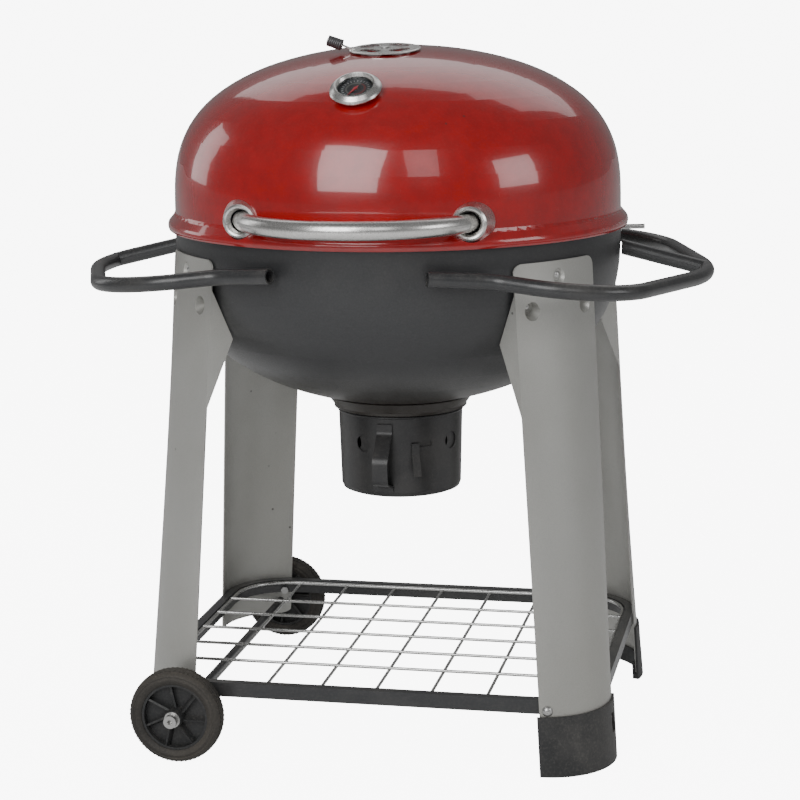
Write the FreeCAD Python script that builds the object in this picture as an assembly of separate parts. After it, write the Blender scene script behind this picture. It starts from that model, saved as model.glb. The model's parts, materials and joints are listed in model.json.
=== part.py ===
"""Kettle charcoal grill: an enamelled bowl and hinged lid carried by four sheet-metal legs.

The bowl hangs between the legs, which a wire shelf ties together near the floor.
The two legs on the left stand on wheels and the two on the right on moulded feet.
Everything is drawn about the kettle's upright axis, with the front towards -Y and
the floor at Z = 0, and save() moves it so that the origin is under the whole grill's
middle.  Angles called azimuth turn about that axis, from the front towards +X.
"""
import FreeCAD
import Part

import math
import os

from FreeCAD import Vector

# ---------------------------------------------------------------- driving dimensions, mm
# Kettle
SEAM_Z = 638.0              # lower edge of the closed lid
SHEET = 1.5                 # enamelled steel of bowl and lid
BOWL_R = 282.0              # outside radius of the bowl's wall
BOWL_DEPTH = 229.0          # seam to the bowl's lowest point
BOWL_FULLNESS = 3.0         # exponents of the bowl's profile
BOWL_ROUNDNESS = 1.75
BOWL_MOUTH_R = 60.0         # ash opening in the bowl's bottom
RIM_BEAD_R = 3.5            # rolled edge of the bowl
RIM_BEAD_PATH_R = 283.0     # circle that the rolled edge's centre follows
LID_R = 282.0               # outside radius of the lid's wall
LID_HEIGHT = 224.0          # seam to crown
LID_SKIRT = 22.0            # height of the flared skirt under the lid's wall
LID_FULLNESS = 3.0
LID_ROUNDNESS = 2.0
LIP_R = 290.0               # outside radius of the lid's lip
LIP_HEIGHT = 10.0
LIP_BULGE = 1.2
SLOPE_ANGLE = 49.6          # of the skirt from level
LID_REST_GAP = 0.3          # lid over the rolled edge
PROFILE_SPANS = 5           # pairs of arcs that follow each profile

# Lid handle
GRIP_TUBE_R = 11.0
GRIP_WALL = 1.5
GRIP_AZIMUTH = 28.8         # where each end meets the lid
GRIP_HEIGHT = 30.0          # above the seam
GRIP_REACH = 341.0          # kettle axis to the middle of the bow
CUP_R = 27.0                # stamped cups round the handle's ends
CUP_CREST_R = 17.5
CUP_CREST_HEIGHT = 12.0
CUP_SHEET = 1.5
CUP_TILT = 22.0             # cup's axis leans this far from the lid's normal to the tube
CUP_SEAT_GAP = 0.3
CUP_HOLE_R = 22.0
GRIP_NUT_R = 7.0

# Thermometer
DIAL_HEIGHT = 0.76          # share of the dome's height that the stem goes through
DIAL_AZIMUTH = -1.0
BEZEL_R = 31.0
BEZEL_BASE_R = 26.0
BEZEL_HEIGHT = 11.0
BEZEL_LIP_R = 23.5
DIAL_R = 21.0
DIAL_RECESS = 5.0
NEEDLE_LENGTH = 15.5
NEEDLE_REST = 206.0         # needle at rest, clockwise from the dial's top
STEM_R = 3.0
STEM_LENGTH = 60.0
STEM_HOLE_R = 3.6

# Top damper
DAMPER_R = 44.0
DAMPER_FORWARD = 65.0       # crown to the damper's centre
DAMPER_SHEET = 1.5
DAMPER_HOLES = 4
DAMPER_HOLE_R = 9.0
DAMPER_HOLE_CIRCLE = 25.0
DAMPER_LEVER_AZIMUTH = -80.0
DAMPER_LEVER_REACH = 72.0
DAMPER_LIFT = 0.6           # disc over the dome at its centre
KNOB_R = 7.2
KNOB_LENGTH = 22.0
KNOB_LIFT = 8.0             # knob's middle over the disc
KNOB_SLOPE = 12.0
KNOB_RIBS = 6
RIVET_R = 3.0
DAMPER_TURN = 12.0          # degrees that the disc's holes stand off the lid's

# Lid hinge
HINGE_Y = 308.0             # kettle axis to the hinge pin
HINGE_HEIGHT = 6.0          # pin above the seam
HINGE_PIN_R = 4.0
HINGE_PIN_GAP = 0.06
KNUCKLE_R = 8.0
KNUCKLE_HALF = 24.0         # half length of the lid's knuckle
EAR_SHEET = 4.0
EAR_GAP = 0.6
HINGE_PLATE = 3.0

# Bow handles at the sides
RAIL_TUBE_R = 9.5
RAIL_TUBE_WALL = 2.0
LOOP_DROP = 22.0            # the loop's plane is this far under the seam at the axis ...
LOOP_SLOPE = 0.09           # ... and falls this much per mm outwards
LOOP_END_AZIMUTH = 18.0
LOOP_GAP = 9.0              # bowl to tube where the end runs along the bowl
LOOP_SHOULDER_AZIMUTH = 33.0
LOOP_CORNER = (302.0, 288.0)
LOOP_OUTER = (390.0, 40.0)
LOOP_BENDS = (45.0, 105.0, 220.0)
STRUT_Y = 30.0
STRUT_DROP = 30.0           # strut's inner end under the seam
LOOP_POST_R = 6.0
LOOP_POST_AZIMUTH = 23.0

# Legs
LEG_AZIMUTH = 53.0
LEG_SHEET = 2.0
LEG_TOP_Z = 616.0
LEG_TOP_HALF = 66.0         # half chord of the leg's curved section, top and floor
LEG_FLOOR_HALF = 62.0
LEG_TOP_GAP = 1.0           # leg to bowl at the leg's top
LEG_FLOOR_MID_R = 322.0     # kettle axis to the middle of that chord at floor level
LEG_FLOOR_RISE = 30.0       # height of the curve over its chord at floor level
LEG_CORNER_R = 12.0
WHEEL_LEG_END_Z = 40.0
FOOT_LEG_END_Z = 8.0
GUSSET_TOP = 55.0           # under the seam
GUSSET_APEX = 119.0
GUSSET_END = 205.0
GUSSET_GAP = 1.2            # gusset to bowl
LEG_SCREWS = ((0.0, 39.0), (-8.7, 74.0), (8.7, 74.0))   # azimuth from the leg's, drop
LEG_SCREW_R = 2.5
DIMPLE_R = 12.5             # dimples pressed into the leg down to the bowl
DIMPLE_FLOOR_R = 8.0
DIMPLE_GAP = 0.3
SCREW_HEAD_R = 4.5
SCREW_HEAD_HEIGHT = 2.4
NUT_R = 6.0
NUT_HEIGHT = 5.0

# Feet
FOOT_HEIGHT = 74.0
FOOT_WALL = 3.0
FOOT_INNER_HEIGHT = 24.0
FOOT_CLEARANCE = 0.3
FOOT_WINDOW_AZIMUTH = 30.0  # round the leg's own curve
FOOT_WINDOW = (12.0, 24.0)
FOOT_WINDOW_Z = 48.0

# Shelf
SHELF_Z = 85.0
RAIL_WIDTH = 12.0
RAIL_HEIGHT = 18.0
RAIL_CLEARANCE = 2.0        # rail to the inside of the leaning legs
SHELF_SCREW_DROP = 4.0      # under the rail's middle
SHELF_SCREW_INSET = 10.0    # from the leg's edge
WIRE_R = 2.0
EDGE_WIRE_R = 2.5
LONG_PITCH = 67.0           # wires that run side to side
LONG_SHIFT = -8.0
LONG_COUNT = 5
CROSS_PITCH = 69.0          # wires that run front to back
CROSS_SHIFT = 10.0
CROSS_COUNT = 7

# Wheels and axle
WHEEL_R = 59.0
WHEEL_WIDTH = 30.0
TYRE_DEPTH = 17.0
AXLE_X = -231.0
AXLE_R = 5.0
AXLE_GAP = 0.06
WHEEL_INNER_Y = 248.0       # inner face of each wheel
HUB_PROUD = 4.0
SPOKES = 7
CAP_R = 8.0
CAP_LENGTH = 11.0

# Ash catcher
COLLAR_R = 93.0
COLLAR_WAIST_R = 83.0
COLLAR_HEIGHT = 15.0
NECK_R = 76.0
NECK_LENGTH = 14.0
CAN_TOP_R = 80.0
CAN_BASE_R = 77.5
CAN_SHEET = 1.2
CAN_TOP = 238.0             # under the seam
CAN_BASE = 342.0
CAN_BEAD_R = 1.6
AIR_HOLE_R = 11.0
AIR_HOLES = 4
AIR_HOLE_AZIMUTH = 65.0
AIR_HOLE_DROP = 273.0
AIR_RING_HEIGHT = 34.0
AIR_RING_SHEET = 1.0
AIR_RING_GAP = 0.35
AIR_RING_OFFSET = -12.0     # degrees that the ring's holes stand off the can's
SLOT_AZIMUTH = (22.0, 41.0)
SLOT_HEIGHT = 5.5
STRAP_AZIMUTH = -3.0
STRAP_WIDTH = 20.0
STRAP_SHEET = 2.0
STRAP_REACH = 26.0

# Grates
GRATE_R = 264.0
GRATE_DROP = 22.0           # top of the cooking bars under the seam
GRATE_RIM_R = 3.0
GRATE_BAR_R = 2.0
GRATE_PITCH = 18.0
COAL_R = 208.0
COAL_DROP = 136.0
COAL_RIM_R = 3.5
COAL_BAR_R = 3.0
COAL_PITCH = 26.0
TAB_SHEET = 2.0
TAB_WIDTH = 22.0
TAB_AZIMUTHS = (0.0, 90.0, 180.0, 270.0)

# Tool peg under the lid, on the right
PEG_AZIMUTH = 104.0
PEG_DROP = 10.0
PEG_R = 3.2
PEG_REACH = 315.0

PARTS_DIR = "parts"
UP = Vector(0, 0, 1)
ORIGIN = Vector(0, 0, 0)

# The middle of the whole grill from front to back, seen from the kettle's axis.
FRONT_REACH = GRIP_REACH + GRIP_TUBE_R
BACK_REACH = HINGE_Y + KNUCKLE_R
KETTLE_Y = (FRONT_REACH - BACK_REACH) / 2


# ---------------------------------------------------------------- general helpers
def save(name, shape):
    """Write one node, moved so that the origin is under the grill's middle."""
    placed = shape.copy()
    placed.translate(Vector(0, KETTLE_Y, 0))
    placed.exportStep(os.path.join(PARTS_DIR, name + ".step"))
    print(f"{name:22s} solids {len(placed.Solids):3d}  volume {placed.Volume / 1000:9.2f} cm3"
          f"  valid {placed.isValid()}")


def polar(radius, azimuth, z=0.0):
    """Point at a radius and azimuth from the kettle's axis."""
    angle = math.radians(azimuth)
    return Vector(radius * math.sin(angle), -radius * math.cos(angle), z)


def outward(azimuth):
    return polar(1.0, azimuth)


def along(azimuth):
    """Unit vector round the kettle at an azimuth, towards larger azimuths."""
    return polar(1.0, azimuth + 90.0)


def rod(start, end, radius):
    axis = end.sub(start)
    return Part.makeCylinder(radius, axis.Length, start, axis)


def turned(points, axis_point=ORIGIN, axis=UP):
    """Solid turned about an axis from a closed outline of (radius, height) points."""
    outline = [Vector(r, 0, z) for r, z in points]
    face = Part.Face(Part.makePolygon(outline + [outline[0]]))
    body = face.revolve(ORIGIN, UP, 360)
    body.Placement = FreeCAD.Placement(axis_point, FreeCAD.Rotation(UP, axis))
    return body


def mirrored(shape, normal):
    return shape.mirror(ORIGIN, normal)


def fused(shapes):
    first = shapes[0]
    if len(shapes) == 1:
        return first
    return first.multiFuse(shapes[1:]).removeSplitter()


def group(shapes):
    return Part.makeCompound(shapes)


def hexagon_bar(start, axis, radius, height):
    """Hexagonal bar whose corners lie at the radius."""
    corners = []
    for step in range(7):
        angle = math.radians(60 * step)
        corners.append(Vector(radius * math.cos(angle), radius * math.sin(angle), 0))
    bar = Part.Face(Part.makePolygon(corners)).extrude(Vector(0, 0, height))
    bar.Placement = FreeCAD.Placement(start, FreeCAD.Rotation(UP, axis))
    return bar


def domed_screw(seat, axis, head_r, head_h, shank_r, shank_length):
    """Round-headed screw: the head's flat sits at seat and axis points out of it."""
    sphere_r = (head_r ** 2 + head_h ** 2) / (2 * head_h)
    ball = Part.makeSphere(sphere_r, Vector(0, 0, head_h - sphere_r))
    head = ball.common(Part.makeCylinder(head_r * 1.5, head_h + 1))
    shank = Part.makeCylinder(shank_r, shank_length + 1, Vector(0, 0, -shank_length))
    screw = head.fuse(shank)
    screw.Placement = FreeCAD.Placement(seat, FreeCAD.Rotation(UP, axis))
    return screw


def skin_point(solid, start, way):
    """Last point at which a ray is inside a solid."""
    ray = Part.makeLine(start, start.add(way * 900))
    inside = ray.common(solid)
    return max((v.Point for v in inside.Vertexes), key=start.distanceToPoint)


def skin_frame(solid, start, way):
    """Where a level ray leaves a solid, and the surface's outward normal there."""
    side = UP.cross(way)
    here = skin_point(solid, start, way)
    over = skin_point(solid, start.add(UP * 2), way)
    beside = skin_point(solid, start.add(side * 2), way)
    normal = beside.sub(here).cross(over.sub(here)).normalize()
    return here, normal


# ---------------------------------------------------------------- kettle profiles
def bowl_radius(drop):
    """Outside radius of the bowl at a depth under the seam."""
    share = min(drop / BOWL_DEPTH, 1.0)
    return BOWL_R * (1 - share ** BOWL_FULLNESS) ** (1 / BOWL_ROUNDNESS)


def bowl_drop(radius):
    """Depth under the seam at which the bowl's outside has a radius."""
    return BOWL_DEPTH * (1 - (radius / BOWL_R) ** BOWL_ROUNDNESS) ** (1 / BOWL_FULLNESS)


def lid_point(share):
    """Radius and height over the seam on the lid's outside, from 0 at its wall to 1."""
    radius = LID_R * (1 - share ** LID_FULLNESS) ** (1 / LID_ROUNDNESS)
    return radius, LID_SKIRT + (LID_HEIGHT - LID_SKIRT) * share


def lid_normal(share):
    """Outward normal of the lid's profile as (radial, up)."""
    step = 1e-4
    r0, z0 = lid_point(max(share - step, 0.0))
    r1, z1 = lid_point(min(share + step, 1.0))
    length = math.hypot(r1 - r0, z1 - z0)
    return (z1 - z0) / length, -(r1 - r0) / length


def profile_knots(radius_and_height, shares):
    """Points of a profile with its unit direction at each, as (radius, height) pairs."""
    knots = []
    step = 1e-5
    for share in shares:
        here = Vector(*radius_and_height(share), 0)
        before = Vector(*radius_and_height(max(share - step, 0.0)), 0)
        after = Vector(*radius_and_height(min(share + step, 1.0)), 0)
        way = after.sub(before).normalize()
        knots.append((here, way))
    knots[0] = (knots[0][0], Vector(0, math.copysign(1, knots[0][1].y), 0))
    knots[-1] = (knots[-1][0], Vector(-1, 0, 0))
    return knots


def arc_centre(start, way, end):
    """Centre of the arc that leaves start in a direction and passes through end."""
    normal = Vector(-way.y, way.x, 0)
    chord = end.sub(start)
    return start.add(normal * (chord.dot(chord) / (2 * normal.dot(chord))))


def arc_chain(radius_and_height):
    """Arcs that follow a profile smoothly, each as (start, end, centre)."""
    shares = [math.sin(math.pi / 2 * index / PROFILE_SPANS) for index in range(PROFILE_SPANS + 1)]
    knots = profile_knots(radius_and_height, shares)
    arcs = []
    for (p0, t0), (p1, t1) in zip(knots, knots[1:]):
        chord = p1.sub(p0)
        both = t0.add(t1)
        bend = 2 * (1 - t0.dot(t1))
        pull = chord.dot(both)
        reach = (math.sqrt(pull * pull + bend * chord.dot(chord)) - pull) / bend
        joint = p0.add(p1).add(t0.sub(t1) * reach) * 0.5
        arcs.append((p0, joint, arc_centre(p0, t0, joint)))
        arcs.append((joint, p1, arc_centre(p1, t1 * -1, joint)))
    return arcs


def chain_edges(radius_and_height, offset):
    """Edges of a profile moved outwards by an offset, from its wall to the axis."""
    edges = []
    for start, end, centre in arc_chain(radius_and_height):
        radius = start.distanceToPoint(centre)
        middle = start.add(end) * 0.5
        points = []
        for point in (start, middle, end):
            ray = point.sub(centre).normalize()
            at = centre.add(ray * (radius + offset))
            points.append(Vector(at.x, 0, SEAM_Z + at.y))
        edges.append(points)
    edges[-1][2].x = 0.0
    for before, after in zip(edges, edges[1:]):
        after[0] = before[2]
    return [Part.Arc(*points).toShape() for points in edges]


def bowl_point(share):
    """Radius and height from the seam on the bowl's outside, from 0 at its wall to 1."""
    drop = share * BOWL_DEPTH
    return bowl_radius(drop), -drop


def slope_direction():
    """Unit vector up the lid's skirt, and its outward normal, as (radial, up)."""
    angle = math.radians(SLOPE_ANGLE)
    return (-math.cos(angle), math.sin(angle)), (math.sin(angle), math.cos(angle))


def bead_z():
    """Height of the bowl's rolled edge, so that the lid's slope rests just over it."""
    _, normal = slope_direction()
    reach = SHEET + RIM_BEAD_R + LID_REST_GAP
    return SEAM_Z + LIP_HEIGHT + ((LIP_R - RIM_BEAD_PATH_R) * normal[0] - reach) / normal[1]


# ---------------------------------------------------------------- lid
def lid_solid(offset):
    """Solid inside the lid's profile, moved outwards by the offset."""
    way, normal = slope_direction()
    lip_r = LIP_R + offset
    foot = Vector(lip_r, 0, SEAM_Z)
    lip_top = Vector(lip_r, 0, SEAM_Z + LIP_HEIGHT + offset * (1 - normal[0]) / normal[1])
    corner_height = LIP_HEIGHT + (LIP_R - LID_R) * math.tan(math.radians(SLOPE_ANGLE))
    setback = LID_SKIRT - corner_height
    turn = math.radians(90 - SLOPE_ANGLE)
    knee_r = setback / math.tan(turn / 2)
    knee_centre = Vector(LID_R + knee_r, 0, SEAM_Z + LID_SKIRT)

    def on_knee(angle):
        reach = knee_r - offset
        return knee_centre.add(Vector(-math.cos(angle), 0, -math.sin(angle)) * reach)

    knee_start = on_knee(turn)
    knee_end = on_knee(0)
    dome = chain_edges(lid_point, offset)
    crown = dome[-1].valueAt(dome[-1].LastParameter)
    if offset == 0:
        bulge = Vector(lip_r + LIP_BULGE, 0, SEAM_Z + LIP_HEIGHT / 2)
        lip = Part.Arc(foot, bulge, lip_top).toShape()
    else:
        lip = Part.makeLine(foot, lip_top)
    floor_point = Vector(0, 0, SEAM_Z)
    knee = Part.Arc(knee_start, on_knee(turn / 2), knee_end).toShape()
    edges = [lip, Part.makeLine(lip_top, knee_start), knee] + dome
    edges += [Part.makeLine(crown, floor_point), Part.makeLine(floor_point, foot)]
    return Part.Face(Part.Wire(edges)).revolve(ORIGIN, UP, 360)


def grip_end_point():
    """Middle of the handle's tube where it meets the lid's wall, on the right."""
    return polar(LID_R, GRIP_AZIMUTH, SEAM_Z + GRIP_HEIGHT)


def grip_arc():
    """The handle's bow: one arc through both ends and the middle of its reach."""
    right = grip_end_point()
    left = Vector(-right.x, right.y, right.z)
    middle = Vector(0, -GRIP_REACH, right.z)
    return Part.Arc(left, middle, right)


def make_lid_shell(leaf_screws):
    shell = lid_solid(0).cut(lid_solid(-SHEET))
    for side in (-1, 1):
        azimuth = side * GRIP_AZIMUTH
        seat = polar(LID_R - 30, azimuth, SEAM_Z + GRIP_HEIGHT)
        shell = shell.cut(rod(seat, polar(LID_R + 30, azimuth, seat.z), CUP_HOLE_R))
    seat, normal = dial_seat()
    shell = shell.cut(rod(seat.sub(normal * 20), seat.add(normal * 20), STEM_HOLE_R))
    for hole in damper_holes(0.0) + [damper_bar(RIVET_R)] + leaf_screws:
        shell = shell.cut(hole)
    return shell


def handle_sweep(radius):
    """Solid rod of a radius along the handle's bow."""
    path = Part.Wire(grip_arc().toShape())
    return swept(path, radius)


def make_lid_handle():
    return handle_sweep(GRIP_TUBE_R).cut(handle_sweep(GRIP_TUBE_R - GRIP_WALL))


def make_grip_cups():
    """Volcano-shaped cups on the lid that the handle's ends come out of."""
    skin = lid_solid(CUP_SEAT_GAP)
    tube = handle_sweep(GRIP_TUBE_R + 0.2)
    throat_r = GRIP_TUBE_R + 1.5
    t = CUP_SHEET
    base = -0.6 * CUP_R
    top = CUP_CREST_HEIGHT
    outline = [(CUP_R + 3, base), (CUP_CREST_R + 2.5, top - 1.8), (CUP_CREST_R, top),
               (CUP_CREST_R - 2, top - 1), (throat_r, top - 8), (throat_r, top - 8 - t),
               (throat_r + t, top - 7 - t), (CUP_CREST_R, top - 2 * t),
               (CUP_CREST_R + 1, top - 1.8 - t), (CUP_R + 3 - t, base)]
    cups = []
    for side in (-1, 1):
        seat = polar(LID_R, side * GRIP_AZIMUTH, SEAM_Z + GRIP_HEIGHT)
        cup = turned(outline, seat, outward(side * (GRIP_AZIMUTH - CUP_TILT)))
        cup = cup.cut(skin).cut(tube)
        cups.append(max(cup.Solids, key=lambda solid: solid.Volume))
    return group(cups)


def make_grip_bolts():
    """Plug, washer and nut at each end of the lid's handle."""
    bolts = []
    arc = grip_arc().toShape()
    for parameter, sign in ((arc.FirstParameter, -1), (arc.LastParameter, 1)):
        end = arc.valueAt(parameter)
        way = arc.tangentAt(parameter) * sign
        plug = rod(end.sub(way * 8), end, GRIP_TUBE_R - GRIP_WALL - 0.4)
        washer = rod(end, end.add(way * 2), GRIP_TUBE_R)
        nut = hexagon_bar(end.add(way * 2), way, GRIP_NUT_R, 4)
        bolts.append(fused([plug, washer, nut]))
    return group(bolts)


# ---------------------------------------------------------------- thermometer
def dial_seat():
    """Point on the dome where the thermometer sits, and the way it faces."""
    radius, height = lid_point(DIAL_HEIGHT)
    normal_r, normal_z = lid_normal(DIAL_HEIGHT)
    seat = polar(radius, DIAL_AZIMUTH, SEAM_Z + height)
    normal = outward(DIAL_AZIMUTH) * normal_r + UP * normal_z
    return seat, normal


def make_thermometer():
    """Bezel, dial, glass, stem with its nut, and needle, all about the stem's axis."""
    seat, normal = dial_seat()
    base = 2.6
    top = base + BEZEL_HEIGHT
    dial_z = top - DIAL_RECESS - 3
    bezel = turned([(0, base), (BEZEL_BASE_R, base), (BEZEL_R - 1, base + 2),
                    (BEZEL_R, base + 4), (BEZEL_R - 1.2, base + 6.5), (BEZEL_LIP_R + 2, top - 0.7),
                    (BEZEL_LIP_R, top), (BEZEL_LIP_R - 1, top - 0.6), (DIAL_R, top - DIAL_RECESS + 1),
                    (DIAL_R, dial_z), (0, dial_z)], seat, normal)
    bezel = bezel.cut(rod(seat, seat.add(normal * 20), STEM_R))
    dial = turned([(0, dial_z), (DIAL_R - 0.1, dial_z), (DIAL_R - 0.1, dial_z + 1),
                   (0, dial_z + 1)], seat, normal)
    dial = dial.cut(rod(seat, seat.add(normal * 20), STEM_R))
    glass_z = dial_z + 2.8
    glass = turned([(0, glass_z), (DIAL_R - 0.1, glass_z), (DIAL_R - 0.1, glass_z + 1.0),
                    (0, glass_z + 1.0)], seat, normal)
    stem_top = dial_z + 0.8
    stem = rod(seat.sub(normal * STEM_LENGTH), seat.add(normal * stem_top), STEM_R)
    nut = hexagon_bar(seat.sub(normal * 8), normal, 8, 5)
    stem = stem.fuse(nut)
    needle_z = dial_z + 1.5
    uphill = UP.sub(normal * UP.dot(normal)).normalize()
    level = uphill.cross(normal)
    angle = math.radians(NEEDLE_REST)
    up_face = uphill * math.cos(angle) + level * math.sin(angle)
    across = normal.cross(up_face)
    centre = seat.add(normal * needle_z)
    corners = [centre.add(up_face * NEEDLE_LENGTH), centre.add(across * 1.6),
               centre.sub(up_face * 6), centre.sub(across * 1.6)]
    blade = Part.Face(Part.makePolygon(corners + [corners[0]])).extrude(normal * 0.6)
    boss = rod(centre, centre.add(normal * 1.0), 2.2)
    needle = blade.fuse(boss)
    return bezel, dial, glass, stem, needle


# ---------------------------------------------------------------- top damper
def damper_seat():
    """Point on the dome under the damper's centre, and the dome's normal there."""
    share = (1 - (DAMPER_FORWARD / LID_R) ** LID_ROUNDNESS) ** (1 / LID_FULLNESS)
    radius, height = lid_point(share)
    normal_r, normal_z = lid_normal(share)
    return polar(radius, 0, SEAM_Z + height), outward(0) * normal_r + UP * normal_z


def on_damper(shape):
    """Move a shape drawn about the Z axis onto the damper's own axis."""
    seat, normal = damper_seat()
    onto = FreeCAD.Placement(seat, FreeCAD.Rotation(UP, normal))
    shape.Placement = onto.multiply(shape.Placement)
    return shape


def damper_bar(radius):
    return on_damper(Part.makeCylinder(radius, 40, Vector(0, 0, -20)))


def damper_holes(turn):
    """Cutters for the ring of air holes, turned round the damper's axis."""
    holes = []
    for index in range(DAMPER_HOLES):
        azimuth = turn + 45 + index * 360 / DAMPER_HOLES
        start = polar(DAMPER_HOLE_CIRCLE, azimuth, -20)
        holes.append(on_damper(fused([
            Part.makeCylinder(DAMPER_HOLE_R, 40, start.add(along(azimuth) * DAMPER_HOLE_R * 0.6)),
            Part.makeCylinder(DAMPER_HOLE_R, 40, start.sub(along(azimuth) * DAMPER_HOLE_R * 0.6))])))
    return holes


def make_damper():
    """Turning disc on the dome with air holes, its lever and ribbed knob, and the rivet."""
    low = DAMPER_LIFT
    top = low + DAMPER_SHEET
    disc = on_damper(turned([(0, low), (DAMPER_R - 1.5, low), (DAMPER_R, low - 0.2),
                             (DAMPER_R, low + 0.8), (DAMPER_R - 1.5, top), (0, top)]))
    for hole in damper_holes(DAMPER_TURN) + [damper_bar(RIVET_R + 0.06)]:
        disc = disc.cut(hole)
    way = outward(DAMPER_LEVER_AZIMUTH)
    side = along(DAMPER_LEVER_AZIMUTH)
    inner = way * (DAMPER_R - 7)
    bend = way * (DAMPER_R - 1)
    strip = Part.makePolygon([inner.add(side * 6), inner.sub(side * 6), bend.sub(side * 4),
                              bend.add(side * 4), inner.add(side * 6)])
    lever = Part.Face(strip).extrude(UP * DAMPER_SHEET)
    run = DAMPER_LEVER_REACH - KNOB_LENGTH / 2 - bend.Length
    slope = math.degrees(math.atan2(KNOB_LIFT, run))
    rise = Part.makeBox(math.hypot(run, KNOB_LIFT) + 5, 8, DAMPER_SHEET,
                        Vector(bend.Length, -4, 0))
    rise.rotate(Vector(bend.Length, 0, 0), Vector(0, 1, 0), -slope)
    rise.rotate(ORIGIN, UP, DAMPER_LEVER_AZIMUTH - 90)
    lever = fused([lever, rise])
    lever.translate(Vector(0, 0, top + 0.02))
    tilt = math.radians(KNOB_SLOPE)
    knob_way = way * math.cos(tilt) + UP * math.sin(tilt)
    knob_middle = (way * (DAMPER_LEVER_REACH - KNOB_LENGTH / 2)).add(UP * (top + KNOB_LIFT))
    knob_start = knob_middle.sub(knob_way * KNOB_LENGTH / 2)
    knob_end = knob_middle.add(knob_way * KNOB_LENGTH / 2)
    knob = rod(knob_start, knob_end, KNOB_R - 1.0)
    pitch = KNOB_LENGTH / KNOB_RIBS
    for index in range(KNOB_RIBS):
        at = knob_start.add(knob_way * (pitch * (index + 0.5)))
        half = knob_way * (pitch * 0.3)
        knob = knob.fuse(rod(at.sub(half), at.add(half), KNOB_R))
    knob = on_damper(knob)
    lever = on_damper(lever)
    knob = knob.cut(lever)
    rivet = fused([Part.makeCylinder(RIVET_R, top + 3.2, Vector(0, 0, -3.2)),
                   turned([(0, top), (6, top + 0.05), (5, top + 1.6), (2.5, top + 2.4),
                           (0, top + 2.5)]),
                   Part.makeCylinder(6, 1.6, Vector(0, 0, -3.4))])
    return disc, lever, knob, on_damper(rivet)


# ---------------------------------------------------------------- hinge
def hinge_point():
    return Vector(0, HINGE_Y, SEAM_Z + HINGE_HEIGHT)


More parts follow.
